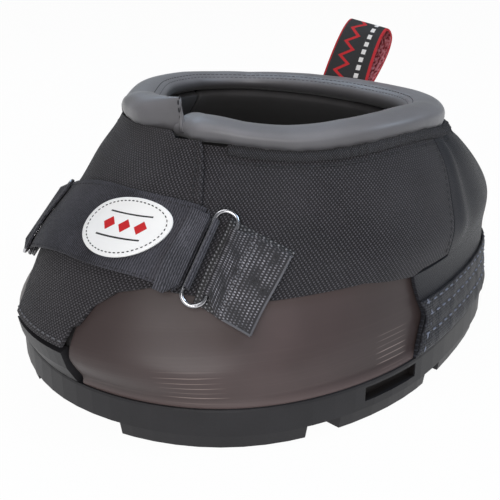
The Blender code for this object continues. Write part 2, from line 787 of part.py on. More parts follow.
def strap_height(t, angle):
    """Height across the strap's width, t from its lower edge up; it arches over the toe and hangs on the far side."""
    arch = STRAP_ARCH * (1 + ARCH_FOOT_SHARE * (1 - t)) * max(0, 1 - (angle / BAR_ANGLE) ** ARCH_POWER)
    drop = STRAP_FAR_DROP * ease(-angle / BAR_ANGLE)
    return height_at(STRAP_FOOT_SHARE + (STRAP_TOP_SHARE - STRAP_FOOT_SHARE) * t) + arch - drop


def make_strap_band(parts):
    """The strap's lower layer, across the flap from ring to ring."""
    webbing = finish("strap_black", (0.020, 0.020, 0.026), 0.85)
    rows = []
    for t in steps(0, 1, 4):
        angles = steps(-BAND_END_ANGLE, BAND_END_ANGLE, 16)
        rows.append([wall(a, strap_height(t, a), strap_middle()) for a in angles])
    sheet("strap_band", rows, STRAP_THICKNESS, 0, webbing, parts)


def fold_line(place, t, close_angle):
    """A fold round the inner bar: in from the band, round the bar and back on top of the strap."""
    bar = place.inner_bar(t)
    radius = fold_radius()
    start_angle = BAND_END_ANGLE + SEAM_GAP_ANGLE
    start_angle *= place.side
    start = wall(start_angle, strap_height(t, start_angle), strap_middle())
    line = [start] + arc_points(bar, place, radius, -90, 90, 8)
    if close_angle is None:
        return line
    top_middle = strap_middle() + STRAP_THICKNESS + STRAP_GAP
    close_angle *= place.side
    line.append(wall(close_angle, strap_height(t, close_angle), top_middle))
    return line


def make_strap_folds(near, away, parts):
    webbing = bpy.data.materials["strap_black"]
    rows = level_rows(near, lambda t: fold_line(near, t, None))
    sheet("strap_fold_right", rows, STRAP_THICKNESS, 0, webbing, parts)
    rows = level_rows(away, lambda t: fold_line(away, t, FAR_FOLD_END_ANGLE))
    sheet("strap_fold_left", rows, STRAP_THICKNESS, 0, webbing, parts)


def tab_line(place, t, lift):
    """The free end of the strap, from the top of the fold down onto the strap."""
    bar = place.inner_bar(t)
    root = bar + place.out * fold_radius() - place.away * (STRAP_GAP + RING_WIRE_RADIUS / 2)
    middle = strap_middle() + STRAP_THICKNESS + PAD_THICKNESS + 2 * STRAP_GAP + lift
    angles = steps(TAB_ROOT_ANGLE, TAB_END_ANGLE, 3)
    return [wall(place.side * a, strap_height(t, a), middle) for a in reversed(angles)] + [root]


def make_strap_tab(near, parts):
    """The peeling tab and the hook pad under it."""
    webbing = bpy.data.materials["strap_black"]
    hook = finish("hook_pad_black", (0.015, 0.015, 0.018), 0.9)
    rows = level_rows(near, lambda t: tab_line(near, t, 0))
    sheet("strap_tab", rows, STRAP_THICKNESS, 0, webbing, parts)
    middle = strap_middle() + (STRAP_THICKNESS + PAD_THICKNESS) / 2 + STRAP_GAP
    pad = steps(TAB_END_ANGLE, TAB_ROOT_ANGLE, 3)
    rows = level_rows(near, lambda t: [wall(a, strap_height(t, a), middle) for a in pad], PAD_EDGE_SHARE)
    sheet("hook_pad", rows, PAD_THICKNESS - STRAP_GAP / 2, 0, hook, parts)


def make_label(parts):
    """The bare oval label on the strap, a disc of rings bent to the strap."""
    white = finish("label_white", (0.80, 0.80, 0.80), 0.5)
    left, right = LABEL_ANGLES
    low, high = LABEL_HEIGHT_SHARES
    out = strap_middle() + STRAP_THICKNESS / 2 + STRAP_GAP + LABEL_THICKNESS
    count = LABEL_SIDES
    points = []
    faces = []
    middle_angle, middle_share = (left + right) / 2, (low + high) / 2

    def spot(across, up):
        """A point of the label, both places from -1 to 1; the label sits a little turned on the strap."""
        angle = middle_angle + (right - left) / 2 * across
        height = height_at(middle_share + (high - low) / 2 * up) + LABEL_TILT / 2 * across
        return wall(angle, height, out)

    points.append(spot(0, 0))
    for scale in label_ring_shares:
        for turn in steps(0, 2 * math.pi, count)[:-1]:
            points.append(spot(scale * math.cos(turn), scale * math.sin(turn)))
    for i in range(count):
        j = (i + 1) % count
        faces.append((0, 1 + i, 1 + j))
        for r in range(len(label_ring_shares) - 1):
            a = 1 + r * count
            faces.append((a + i, a + count + i, a + count + j, a + j))
    item = mesh_object("oval_label", points, faces, white, parts)
    solid = item.modifiers.new("Thickness", "SOLIDIFY")
    solid.thickness = LABEL_THICKNESS
    solid.offset = -1


def keeper_spot(place, t, angle, out):
    """A point over the base patch, t from its lower edge up; the patch runs square to the ring's bars."""
    ahead = (angle - BAR_ANGLE) / (BASE_ANGLES[1] - BAR_ANGLE)
    leaned = angle - KEEPER_LEAN * (1 - t) * ahead
    return wall(place.side * leaned, strap_height(t, place.side * BAR_ANGLE) - KEEPER_DROP * ahead, out)


def keeper_line(place, t):
    """A keeper: along the base patch, round the ring's outer bar and back on top of itself."""
    bar = place.outer_bar(t)
    start, end = KEEPER_TAIL_ANGLES
    upper = keeper_middle() + KEEPER_THICKNESS + STRAP_GAP
    lower_line = [keeper_spot(place, t, a, keeper_middle()) for a in steps(end, start, 3)]
    round_bar = arc_points(bar, place, keeper_radius(), 270, KEEPER_FOLD_END, 9)
    upper_line = [keeper_spot(place, t, a, upper) for a in steps(start, end, 3)]
    return lower_line + round_bar + upper_line


def make_keepers(places, parts):
    mesh_webbing = finish("keeper_mesh", (0.035, 0.035, 0.038), 0.6)
    for side, place in places.items():
        rows = level_rows(place, lambda t: keeper_line(place, t), KEEPER_EDGE_SHARE)
        sheet(f"ring_keeper_{side}", rows, KEEPER_THICKNESS, 0, mesh_webbing, parts)
        angles = steps(*BASE_ANGLES, 7)
        middle = PATCH_GAP + BASE_THICKNESS / 2
        rows = level_rows(place, lambda t: [keeper_spot(place, t, a, middle) for a in angles])
        sheet(f"keeper_base_{side}", rows, BASE_THICKNESS, 0, mesh_webbing, parts)


# Pull loop

def loop_hinge():
    """The middle of the loop's sewn line and the line's direction."""
    height = seam_height(LOOP_ANGLE) + LOOP_HINGE_RISE
    middle = wall(LOOP_ANGLE, height, LOOP_SEAT_GAP + LOOP_TAIL_THICKNESS)
    across = level_wall(LOOP_ANGLE + 1, height) - level_wall(LOOP_ANGLE - 1, height)
    return middle, across.normalized()


def make_pull_loop(parts):
    """A folded webbing loop leaning back from the heel, and the tail that is sewn below the collar."""
    webbing = finish("loop_black", (0.020, 0.020, 0.022), 0.7)
    tail = finish("loop_tail_black", (0.022, 0.020, 0.022), 0.7)
    hinge, across = loop_hinge()
    outward = across.cross(Vector((0, 0, 1)))
    lean = math.radians(LOOP_LEAN)
    rise = Vector((0, 0, math.cos(lean))) + outward * math.sin(lean)
    side = across.cross(rise)
    half_line = [(LOOP_LENGTH * a, LOOP_ROOT_GAP + LOOP_THICKNESS / 2 + LOOP_BULGE * b) for a, b in loop_shape_shares]
    profile = half_line + [(LOOP_LENGTH, 0)] + [(a, -b) for a, b in reversed(half_line)]
    rows = []
    for a, b in profile:
        row = []
        for s in (-0.5, 0, 0.5):
            length = a * (1 - LOOP_SLANT_SHARE * (0.5 - s))
            width = LOOP_WIDTH * (1 - LOOP_TAPER_SHARE * a / LOOP_LENGTH)
            row.append(hinge + across * width * s + rise * length + side * b)
        rows.append(row)
    sheet("pull_loop", rows, LOOP_THICKNESS, 0, webbing, parts)
    top = hinge.z - LAYER_GAP - LOOP_THICKNESS
    grid = []
    for z in steps(top - LOOP_TAIL_LENGTH, top, 5):
        middle = wall(LOOP_ANGLE, z, REST_GAP + LOOP_TAIL_THICKNESS)
        grid.append([middle + across * LOOP_WIDTH * s for s in (-0.5, 0, 0.5)])
    sheet("loop_tail", grid, LOOP_TAIL_THICKNESS, -1, tail, parts)


# Joint axes

def inner_flap_hinge():
    """The middle of the inner flap's hinge and its direction."""
    depth = -NYLON_THICKNESS / 2
    low = wall(INNER_HINGE_ANGLE, height_at(INNER_FOOT_SHARE), depth)
    high = wall(INNER_HINGE_ANGLE, nylon_top(INNER_HINGE_ANGLE), depth)
    return (low + high) / 2, (high - low).normalized()


def tab_hinge(place):
    """Where the strap's free end turns up off the fold, and the bar's direction."""
    rise = fold_radius() + STRAP_THICKNESS / 2
    return place.middle + place.out * rise - place.away * (STRAP_GAP + RING_WIRE_RADIUS / 2), place.up


def hang_moving_pieces(near, away, parts):
    """Each moving group hangs on an empty on its joint's axis; the tab's empty moves with the flap's."""
    def pieces(*names):
        return [bpy.data.objects[name] for name in names]

    flap = pieces("front_flap", "front_collar_end", "strap_band", "strap_fold_left", "strap_fold_right", "oval_label")
    flap_axis = hang_on("axis_front_flap", away.middle, -away.up, flap, parts)
    tab_axis = hang_on("axis_strap_tab", *tab_hinge(near), pieces("strap_tab", "hook_pad"), parts)
    tab_axis.parent = flap_axis
    tab_axis.matrix_parent_inverse = flap_axis.matrix_world.inverted()
    hang_on("axis_inner_flap", *inner_flap_hinge(), pieces("inner_flap"), parts)
    hang_on("axis_ring_right", near.outer_bar(1 / 2), near.up, pieces("ring_right"), parts)
    hang_on("axis_ring_left", away.outer_bar(1 / 2), -away.up, pieces("ring_left"), parts)
    hang_on("axis_pull_loop", *loop_hinge(), pieces("pull_loop"), parts)


def main():
    clear_scene()
    parts = new_collection("hoof_boot")
    cutters = new_collection("cutters")
    finish("steel_dark", (0.32, 0.32, 0.33), 0.30, 1.0)
    places = {"right": RingPlace(1, 0), "left": RingPlace(-1, FAR_BAR_RISE)}
    make_outsole(parts, cutters)
    make_footbed(parts)
    make_side_walls(parts)
    make_toe_panel(parts)
    make_quarters(parts)
    make_heel_panel(parts)
    make_heel_guard(parts)
    make_lining(parts)
    make_collar(parts)
    make_front_flap(parts)
    make_front_collar(parts)
    make_inner_flap(parts)
    make_keepers(places, parts)
    for side, place in places.items():
        make_ring(f"ring_{side}", place, parts)
    make_strap_band(parts)
    make_strap_folds(places["right"], places["left"], parts)
    make_strap_tab(places["right"], parts)
    make_label(parts)
    make_pull_loop(parts)
    hang_moving_pieces(places["right"], places["left"], parts)


main()
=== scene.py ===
# %% [markdown]
# # Dressing a horse's hoof boot
# The solids of the boot come in as a fixed frame. Each cell below takes one piece or one finish of
# the real boot: the woven nylon, the padded collar, the webbing strap and its wire rings, the hard
# side walls, the rubber sole. Cloth pieces are built anew as thin, rounded sheets, because a
# flat-sided solid does not look like cloth.

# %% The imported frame
import math

import bmesh
import bpy
import numpy as np
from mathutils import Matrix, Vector


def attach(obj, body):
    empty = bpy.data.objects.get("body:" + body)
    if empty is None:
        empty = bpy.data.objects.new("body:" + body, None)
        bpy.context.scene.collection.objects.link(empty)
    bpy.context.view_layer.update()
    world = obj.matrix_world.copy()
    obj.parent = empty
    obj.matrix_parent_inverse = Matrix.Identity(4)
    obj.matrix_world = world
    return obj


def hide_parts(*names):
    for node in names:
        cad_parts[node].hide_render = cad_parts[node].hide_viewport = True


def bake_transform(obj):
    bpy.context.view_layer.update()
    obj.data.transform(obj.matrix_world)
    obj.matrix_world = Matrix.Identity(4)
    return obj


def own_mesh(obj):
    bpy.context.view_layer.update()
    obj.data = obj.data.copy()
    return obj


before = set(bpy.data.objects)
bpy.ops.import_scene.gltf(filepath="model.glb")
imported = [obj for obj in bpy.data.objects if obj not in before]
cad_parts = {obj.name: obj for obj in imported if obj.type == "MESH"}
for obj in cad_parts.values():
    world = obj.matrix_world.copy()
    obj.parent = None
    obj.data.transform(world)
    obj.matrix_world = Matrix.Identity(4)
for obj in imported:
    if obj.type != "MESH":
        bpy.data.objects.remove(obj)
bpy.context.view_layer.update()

# %% [markdown]
# ## The shape of the wall
# A hoof boot is a stack of egg-shaped sections that lean in as they climb. The table holds each
# section's height share, half width, reach to the toe and to the heel, and how square its corners
# are. A smooth curve through the rows gives any height. Every seam and edge below is then an angle
# round the hoof, counted from the toe, and a height.

# %% Sections of the hoof
SOLE_HEIGHT, SEAM_HEIGHT, SEAM_RISE = 0.0153, 0.0900, 0.0020
SOLE_WIDTH, TOE_REACH, HEEL_REACH, COLLAR_SETBACK = 0.1712, 0.0970, 0.0980, 0.0224
wall_table = np.array([
    (0.000, 1.000, 1.000, 1.000, 2.10, 2.92),
    (0.170, 0.973, 1.060, 1.086, 2.02, 2.56),
    (0.357, 0.950, 0.991, 1.135, 1.80, 2.44),
    (0.545, 0.960, 0.893, 1.108, 1.58, 2.46),
    (0.705, 0.920, 0.749, 0.985, 1.56, 2.58),
    (0.866, 0.865, 0.644, 0.835, 1.58, 2.48),
    (1.000, 0.783, 0.548, 0.725, 1.61, 2.18),
    (1.190, 0.709, 0.456, 0.680, 1.61, 2.06),
])
SEAM_WAVE, WALL_SLANT = 0.0020, 1.15
STEP_ANGLE, STEP_UP = 0.6, 0.00077
wave_angles = np.array([0.0, 20.0, 47.0, 84.0, 116.0, 300.0, 324.0, 345.0, 360.0])
wave_shares = np.array([0.25, 0.45, -0.90, 1.00, 0.0, 0.0, -0.40, 0.20, 0.25])


def section(share):
    """The section's five values at a height share, on a smooth curve through the table."""
    share = np.clip(share, wall_table[0, 0], wall_table[-1, 0])
    k = np.clip(np.searchsorted(wall_table[:, 0], share, side="right") - 1, 0, len(wall_table) - 2)
    low, high = wall_table[k], wall_table[k + 1]
    before, after = wall_table[np.maximum(k - 1, 0)], wall_table[np.minimum(k + 2, len(wall_table) - 1)]
    span = (high - low)[..., :1]
    t = (share[..., None] - low[..., :1]) / span
    slope_low = (high - before) / (high - before)[..., :1] * span
    slope_high = (after - low) / (after - low)[..., :1] * span
    return (low * (2 * t**3 - 3 * t**2 + 1) + high * (3 * t**2 - 2 * t**3)
            + slope_low * (t**3 - 2 * t**2 + t) + slope_high * (t**3 - t**2))


def height_at(share):
    return SOLE_HEIGHT + share * (SEAM_HEIGHT - SOLE_HEIGHT)


def share_at(height):
    return (height - SOLE_HEIGHT) / (SEAM_HEIGHT - SOLE_HEIGHT)


def level_wall(angle, height, out=0.0):
    """Points of the nylon's outer face, moved out on the level."""
    angle, height, out = np.broadcast_arrays(*[np.asarray(v, float) for v in (angle, height, out)])
    share = share_at(height)
    row = section(share)
    turn = np.radians(angle)
    s, c = np.sin(turn), np.cos(turn)
    middle = COLLAR_SETBACK * np.clip(share, 0, 1)
    front = c > 0
    reach = np.where(front, TOE_REACH * row[..., 2] + middle, HEEL_REACH * row[..., 3] - middle) + out
    power = 2 + (np.where(front, row[..., 4], row[..., 5]) - 2) * np.sin(2 * turn) ** 2
    x = (SOLE_WIDTH / 2 * row[..., 1] + out) * np.copysign(np.abs(s) ** (2 / power), s)
    y = middle - reach * np.copysign(np.abs(c) ** (2 / power), c)
    return np.stack((x, y, height), -1)


def unit(v):
    return v / np.linalg.norm(v, axis=-1, keepdims=True)


def step_round(angle, height):
    return level_wall(angle + STEP_ANGLE, height) - level_wall(angle - STEP_ANGLE, height)


def wall_normal(angle, height):
    angle, height = np.asarray(angle, float), np.asarray(height, float)
    up_it = level_wall(angle, height + STEP_UP) - level_wall(angle, height)
    return unit(np.cross(step_round(angle, height), up_it))


def wall(angle, height, out=0.0):
    """Points at an angle and a height on the surface that lies out from the nylon's outer face."""
    angle, height, out = np.broadcast_arrays(*[np.asarray(v, float) for v in (angle, height, out)])
    foot = height
    for _ in range(3):
        foot = height - out * wall_normal(angle, foot)[..., 2]
    return level_wall(angle, foot) + wall_normal(angle, foot) * out[..., None]


def smoothstep(t):
    t = np.clip(t, 0, 1)
    return t * t * (3 - 2 * t)


def bell(value, centre, width):
    return np.exp(-((value - centre) / width) ** 2)


def seam_height(angle):
    """The collar seam climbs towards the toe, in a slow wave."""
    turn = np.mod(angle, 360)
    k = np.clip(np.searchsorted(wave_angles, turn) - 1, 0, len(wave_angles) - 2)
    t = smoothstep((turn - wave_angles[k]) / (wave_angles[k + 1] - wave_angles[k]))
    wave = wave_shares[k] + (wave_shares[k + 1] - wave_shares[k]) * t
    return SEAM_HEIGHT + SEAM_RISE * np.cos(np.radians(angle)) + SEAM_WAVE * wave


girth_angles = np.linspace(-180, 540, 721)
girth_points = level_wall(girth_angles, height_at(0.5))
girth_steps = np.linalg.norm(np.diff(girth_points, axis=0), axis=1)
girth = np.concatenate(([0], np.cumsum(girth_steps)))
print("girth at mid height:", round(girth[360] * 1000), "mm")

# %% [markdown]
# ## Maths for the finishes
# A weave or a ribbed webbing is a small formula of the place on the cloth. Wiring such a formula by
# hand takes dozens of nodes, so one small class lets Python's own operators add them, and one more
# builds a finish step by step.


# %% A socket that takes operators
def feed(tree, socket, value):
    if isinstance(value, Term):
        tree.links.new(value.socket, socket)
    else:
        socket.default_value = value


class Term:
    """One number, colour or vector on its way through a material."""

    def __init__(self, tree, socket):
        self.tree, self.socket = tree, socket

    def math(self, operation, *values, clamp=False):
        node = self.tree.nodes.new("ShaderNodeMath")
        node.operation = operation
        node.use_clamp = clamp
        for socket, value in zip(node.inputs, values):
            feed(self.tree, socket, value)
        return Term(self.tree, node.outputs[0])

    def __rsub__(self, other):
        return self.math("SUBTRACT", other, self)

    def clamp(self):
        return self.math("ADD", self, 0.0, clamp=True)


def term_method(operation):
    return lambda term, *others: term.math(operation, term, *others)


for method, operation in {
        "__add__": "ADD", "__radd__": "ADD", "__sub__": "SUBTRACT", "__mul__": "MULTIPLY",
        "__rmul__": "MULTIPLY", "__truediv__": "DIVIDE", "__gt__": "GREATER_THAN",
        "__lt__": "LESS_THAN", "sin": "SINE", "abs": "ABSOLUTE", "power": "POWER",
        "fract": "FRACT"}.items():
    setattr(Term, method, term_method(operation))


# %% A finish built step by step
class Finish:
    """A Principled material, and one method that adds any node to it."""

    def __init__(self, name, colour, roughness, metallic=0.0, **plain):
        self.material = bpy.data.materials.new(name)
        self.material.use_nodes = True
        self.material.diffuse_color = (*colour, 1)
        self.tree = self.material.node_tree
        self.shader = self.tree.nodes["Principled BSDF"]
        self.set("Base Color", (*colour, 1))
        self.set("Roughness", roughness)
        self.set("Metallic", metallic)
        for socket, value in plain.items():
            self.set(socket.replace("_", " "), value)

    def set(self, socket, value):
        feed(self.tree, self.shader.inputs[socket], value)

    def node(self, kind, settings, values, out=0):
        node = self.tree.nodes.new(kind)
        for key, value in settings.items():
            setattr(node, key, value)
        for key, value in values.items():
            feed(self.tree, node.inputs[key], value)
        return Term(self.tree, node.outputs[out])

    def xyz(self, vector):
        return [self.node("ShaderNodeSeparateXYZ", {}, {0: vector}, i) for i in range(3)]

    def place(self):
        """The place on the boot, in metres."""
        return self.node("ShaderNodeTexCoord", {}, {}, "Object")

    def cloth_place(self):
        """The place on the cloth along and across it, in metres."""
        return self.node("ShaderNodeTexCoord", {}, {}, "UV")

    def noise(self, vector, scale, detail=2.0):
        return self.node("ShaderNodeTexNoise", {}, {"Vector": vector, "Scale": scale, "Detail": detail})

    def mottled(self, grain):
        """Slow changes of tone, a fine grain, and one factor mixed from both."""
        slow, fine = self.noise(self.place(), 45.0, 3.0), self.noise(self.place(), grain)
        return slow, fine, (slow * 1.5 - 0.3 + fine * 0.2).clamp()

    def scaled(self, vector, by):
        return self.node("ShaderNodeVectorMath", {"operation": "MULTIPLY"}, {0: vector, 1: by})

    def blend(self, factor, first, second):
        values = {0: factor, 6: (*first, 1) if isinstance(first, tuple) else first}
        values[7] = (*second, 1) if isinstance(second, tuple) else second
        return self.node("ShaderNodeMix", {"data_type": "RGBA"}, values, 2)

    def bump(self, height, depth, strength=1.0, under=None):
        values = {"Height": height, "Distance": depth, "Strength": strength}
        if under is not None:
            values["Normal"] = under
        normal = self.node("ShaderNodeBump", {}, values)
        self.set("Normal", normal)
        return normal


# %% [markdown]
# ## Woven cloth
# The upper is heavy nylon in a plain weave. Each thread goes over one and under the next, so the
# face is a chequerboard of small floats under a millimetre across, one direction a little lighter
# than the other. A product of two sines gives that board; its sign picks the lighter floats and its
# size rounds each one.

# %% Woven nylon
THREAD = 0.00074


def woven(name, dark, light, thread, depth, roughness):
    """A plain weave with slow changes of tone."""
    cloth = Finish(name, light, roughness,
                   Sheen_Weight=0.06, Sheen_Roughness=0.4, Specular_IOR_Level=0.25)
    uv = cloth.cloth_place()
    u, v, _ = cloth.xyz(uv)
    board = (u * (math.pi / thread)).sin() * (v * (math.pi / thread)).sin()
    slow = cloth.noise(cloth.place(), 38.0)
    fibre = cloth.noise(cloth.scaled(uv, (1.1 / thread, 1.1 / thread, 0)), 1.0, 3.0)
    float_tone = (board * 1.6).clamp() * (fibre * 1.7 - 0.25).clamp() + slow * 0.3 - 0.10
    cloth.set("Base Color", cloth.blend(float_tone.clamp(), dark, light))
    cloth.set("Roughness", roughness - board.abs() * 0.12)
    cloth.bump(board.abs().power(0.6) + fibre * 0.25, depth, 0.9)
    return cloth.material


nylon = woven("woven nylon", (0.014, 0.013, 0.015), (0.118, 0.112, 0.124), THREAD, 0.00022, 0.72)
heel_cloth = woven("heel nylon", (0.011, 0.011, 0.014), (0.040, 0.042, 0.054), 0.00062, 0.00014, 0.55)
patch_cloth = woven(
    "heel patch cloth", (0.014, 0.014, 0.018), (0.046, 0.048, 0.060), 0.0011, 0.00022, 0.55)
seam_cloth = woven(
    "seam tape cloth", (0.018, 0.018, 0.020), (0.125, 0.120, 0.132), 0.00055, 0.00026, 0.75)

# %% Lining, with painted shade: grey at the rim and dark below
LINING_DARK, LINING_FADE = 0.058, 0.034
knit = Finish("padded lining", (0.05, 0.05, 0.05), 0.85, Sheen_Weight=0.1)
_, _, level = knit.xyz(knit.place())
# Painted shade: the lining's colour darkens with depth below the rim, where the mouth is in shade.
shade = ((level - LINING_DARK) / LINING_FADE).clamp()
soft = knit.noise(knit.place(), 60.0, 3.0)
tone = knit.blend(shade * shade * shade, (0.032, 0.030, 0.031), (0.105, 0.101, 0.106))
knit.set("Base Color", knit.blend((soft * 0.9 - 0.2).clamp(), tone, (0.018, 0.017, 0.018)))
knit.bump(soft, 0.0003, 0.5)
lining_cloth = knit.material

# %% [markdown]
# ## Webbing
# The strap is tape with fine ribs across it, which catch the light as thin lines. The keepers under
# the rings are an open mesh tape: shiny knots in rows, with bare stretches between them where the
# pile is pressed flat.


# %% Ribbed strap and mesh tape
PALER_FROM, PALER_RUN = 0.046, 0.008


def ribbed(name, dark, light, rib, depth):
    """Tape with ribs across it, paler towards its far end."""
    tape = Finish(name, light, 0.78, Sheen_Weight=0.08, Sheen_Roughness=0.35, Specular_IOR_Level=0.3)
    uv = tape.cloth_place()
    u, v, _ = tape.xyz(uv)
    wave = (u * (2 * math.pi / rib) + (v * (2 * math.pi / (rib * 2.2))).sin() * 0.35).sin()
    fine = tape.noise(tape.scaled(uv, (3 / rib, 0.8 / rib, 0)), 1.0)
    wide = tape.noise(tape.place(), 90.0)
    # The tape is paler from a set distance along it towards its far end.
    paler_end = ((u - PALER_FROM) / PALER_RUN).clamp() * 0.22
    tone = wave * 0.28 + fine * 1.3 + wide * 0.7 - 0.75 + paler_end
    tape.set("Base Color", tape.blend(tone.clamp(), dark, light))
    tape.bump(wave * 0.5 + fine * 0.5, depth, 0.8)
    return tape.material


strap_cloth = ribbed("ribbed strap", (0.013, 0.013, 0.017), (0.094, 0.092, 0.111), 0.00085, 0.00014)
# A lighter copy of the strap's webbing, a painted highlight: the satin sheen along the right fold and
# the free end.
highlit_strap_cloth = ribbed("strap end cloth with painted highlight", (0.022, 0.022, 0.027), (0.165, 0.162, 0.190), 0.00085, 0.00016)


def mesh_tape(name, along, across, dark, light, bare):
    """Rows of knots across the tape, every other row moved on by half a step."""
    tape = Finish(name, dark, 0.45, Sheen_Weight=0.1)
    uv = tape.cloth_place()
    u, v, _ = tape.xyz(uv)
    row = (u * (math.pi / along)).sin()
    shift = (row > 0.0) * (math.pi / 2)
    knots = (row.abs() * (v * (math.pi / across) + shift).sin().abs() * 2.0 - 0.85).clamp()
    patchy = tape.noise(tape.scaled(uv, (260.0, 170.0, 0)), 1.0, 4.0)
    sparkle = tape.noise(tape.scaled(uv, (1300.0, 1300.0, 0)), 1.0)
    shown = knots * ((patchy - bare) * 3.2 + 0.15).clamp() * (sparkle * 3.4 - 0.9).clamp()
    tape.set("Base Color", tape.blend(shown.clamp(), dark, light))
    tape.set("Roughness", 0.62 - knots * 0.25)
    tape.bump(knots + sparkle * 0.2, 0.00025, 0.9)
    return tape.material


patch_mesh = mesh_tape(
    "mesh tape", 0.00135, 0.00088, (0.013, 0.012, 0.015), (0.46, 0.44, 0.49), 0.38)
keeper_tape = mesh_tape(
    "keeper tape", 0.00130, 0.00130, (0.008, 0.008, 0.010), (0.26, 0.26, 0.28), 0.10)

# %% [markdown]
# ## Neoprene, foam and rubber
# The collar is smooth neoprene: a grey that shows only a faint grain and a soft sheen, with painted
# shade that darkens it where it faces down. The footbed is closed cell foam. The sole is moulded
# rubber, satin with slow changes of tone, and painted shade makes it nearly black inside its drain
# pockets.


# %% Smooth and moulded finishes
def grained(name, dark, light, grain, depth, roughness, **plain):
    """An even skin with slow changes of tone and a fine grain."""
    skin = Finish(name, light, roughness, **plain)
    slow, fine, mixed = skin.mottled(grain)
    skin.set("Base Color", skin.blend(mixed, dark, light))
    skin.set("Roughness", roughness - 0.08 + slow * 0.16)
    skin.bump(fine, depth, 0.7)
    return skin.material


roll_skin = Finish("neoprene", (0.17, 0.166, 0.178), 0.42, Sheen_Weight=0.15)
slow, fine, mixed = roll_skin.mottled(2600.0)
_, _, facing_up = roll_skin.xyz(roll_skin.node("ShaderNodeNewGeometry", {}, {}, "Normal"))
tone = roll_skin.blend(mixed, (0.128, 0.124, 0.131), (0.205, 0.201, 0.216))
# Painted shade: the neoprene's colour darkens where its surface faces down.
underside_shade = (0.50 - facing_up * 0.75).clamp() * 0.85
roll_skin.set("Base Color", roll_skin.blend(underside_shade, tone, (0.050, 0.048, 0.052)))
roll_skin.set("Roughness", 0.34 + slow * 0.16)
roll_skin.bump(fine, 0.00006, 0.7)
neoprene = roll_skin.material
foam = grained("closed cell foam", (0.016, 0.016, 0.017), (0.036, 0.036, 0.038), 1500.0, 0.00015, 0.88)
fibre_board = grained("fibre board", (0.07, 0.07, 0.07), (0.13, 0.13, 0.125), 900.0, 0.00008, 0.85)
edge_tape = grained("edge binding", (0.050, 0.050, 0.056), (0.150, 0.148, 0.165), 3000.0, 0.00008, 0.6)
hook_tape = grained("hook tape", (0.010, 0.010, 0.011), (0.030, 0.030, 0.033), 3500.0, 0.0001, 0.8)
dark_thread = grained("dark thread", (0.012, 0.012, 0.014), (0.030, 0.030, 0.034), 5000.0, 0.00004, 0.7)
grey_thread = grained("grey thread", (0.075, 0.075, 0.085), (0.170, 0.170, 0.190), 5000.0, 0.00004, 0.55)
pale_thread = grained("pale thread", (0.07, 0.08, 0.11), (0.22, 0.24, 0.31), 400.0, 0.00004, 0.5)

# %% Rubber, with painted shade making it nearly black inside the drain pockets
DRAIN_ANGLE, DRAIN_LEVEL, DRAIN_SUNK = 80.0, 0.0109, 0.0016
DRAIN_HALF_LENGTH, DRAIN_HALF_HEIGHT = 0.0131, 0.00275
moulded = Finish("sole rubber", (0.03, 0.03, 0.032), 0.46, Specular_IOR_Level=0.3)
x, y, level = moulded.xyz(moulded.place())
slow, fine, mixed = moulded.mottled(1900.0)
pocket_face = wall(DRAIN_ANGLE, SOLE_HEIGHT)
pocket_run = unit(wall(DRAIN_ANGLE + 1, SOLE_HEIGHT) - wall(DRAIN_ANGLE - 1, SOLE_HEIGHT))
run = (x.abs() - pocket_face[0]) * pocket_run[0] + (y - pocket_face[1]) * pocket_run[1]
sunk = (x.abs() - pocket_face[0]) * pocket_run[1] - (y - pocket_face[1]) * pocket_run[0]
at_pocket = (run.abs() < DRAIN_HALF_LENGTH) * ((level - DRAIN_LEVEL).abs() < DRAIN_HALF_HEIGHT)
# Painted shade: the colour is darker inside the sunk drain pocket.
pocket = at_pocket * (sunk < -DRAIN_SUNK)
tone = moulded.blend(mixed, (0.012, 0.0117, 0.0132), (0.026, 0.0250, 0.0282))
moulded.set("Base Color", moulded.blend(pocket, tone, (0.012, 0.010, 0.0095)))
moulded.set("Roughness", 0.40 + slow * 0.16)
moulded.bump(fine, 0.00008, 0.7)
rubber = moulded.material

# %% [markdown]
# ## The hard side wall
# The walls are moulded in a brown plastic. Fine level lines from the mould run round the lower half
# and flash where the light strikes along them, as painted highlights at three places round the
# girth. A painted reflection of the floor makes the foot of the wall a little lighter, and painted
# shade darkens the wall towards both ends of each window. The lines follow the girth, so the noise
# that draws them is stretched along it a hundredfold.

# %% Brown moulded wall
def hump(value, centre, half_width):
    """1 at the centre, down to 0 half a width away on both sides."""
    return 1 - ((value - centre).abs() / half_width).clamp()


brown = Finish("brown wall", (0.100, 0.077, 0.075), 0.36, Coat_Roughness=0.25, Specular_IOR_Level=0.3)
uv = brown.cloth_place()
run, rise, _ = brown.xyz(uv)
rise = rise / WALL_SLANT
slow = brown.noise(brown.place(), 26.0, 3.0)
lines = brown.noise(brown.scaled(uv, (9.0, 950.0, 0)), 1.0, 3.0)
low_half = 1 - ((rise - 0.026) / 0.022).clamp()
# Painted reflection: the floor's light makes the foot of the wall lighter.
foot_reflection = 1 - ((rise - SOLE_HEIGHT) / 0.0026).clamp()
toe_u, front_u, mid_u, near_u, far_u = map(float, np.interp(
    (0.0, 36.0, 47.0, 81.0, -81.0), girth_angles, girth))
# Painted highlights: the mould lines flash in a band at three places round the girth.
highlight_places = hump(run, near_u, 0.0075) + hump(run, far_u, 0.0075) + hump(run, front_u, 0.0130) * 0.6
band = hump(rise, 0.0225, 0.0068)
comb = ((rise * (2 * math.pi / 0.0019) + slow * 4.0).sin() * 4.0 - 3.2).clamp()
streak_highlight = comb * (highlight_places * 2.2).clamp() * (band * 2.0).clamp() * (lines * 4.0 - 1.4).clamp()
tone = brown.blend((slow * 1.7 - 0.35).clamp(), (0.054, 0.039, 0.038), (0.098, 0.070, 0.069))
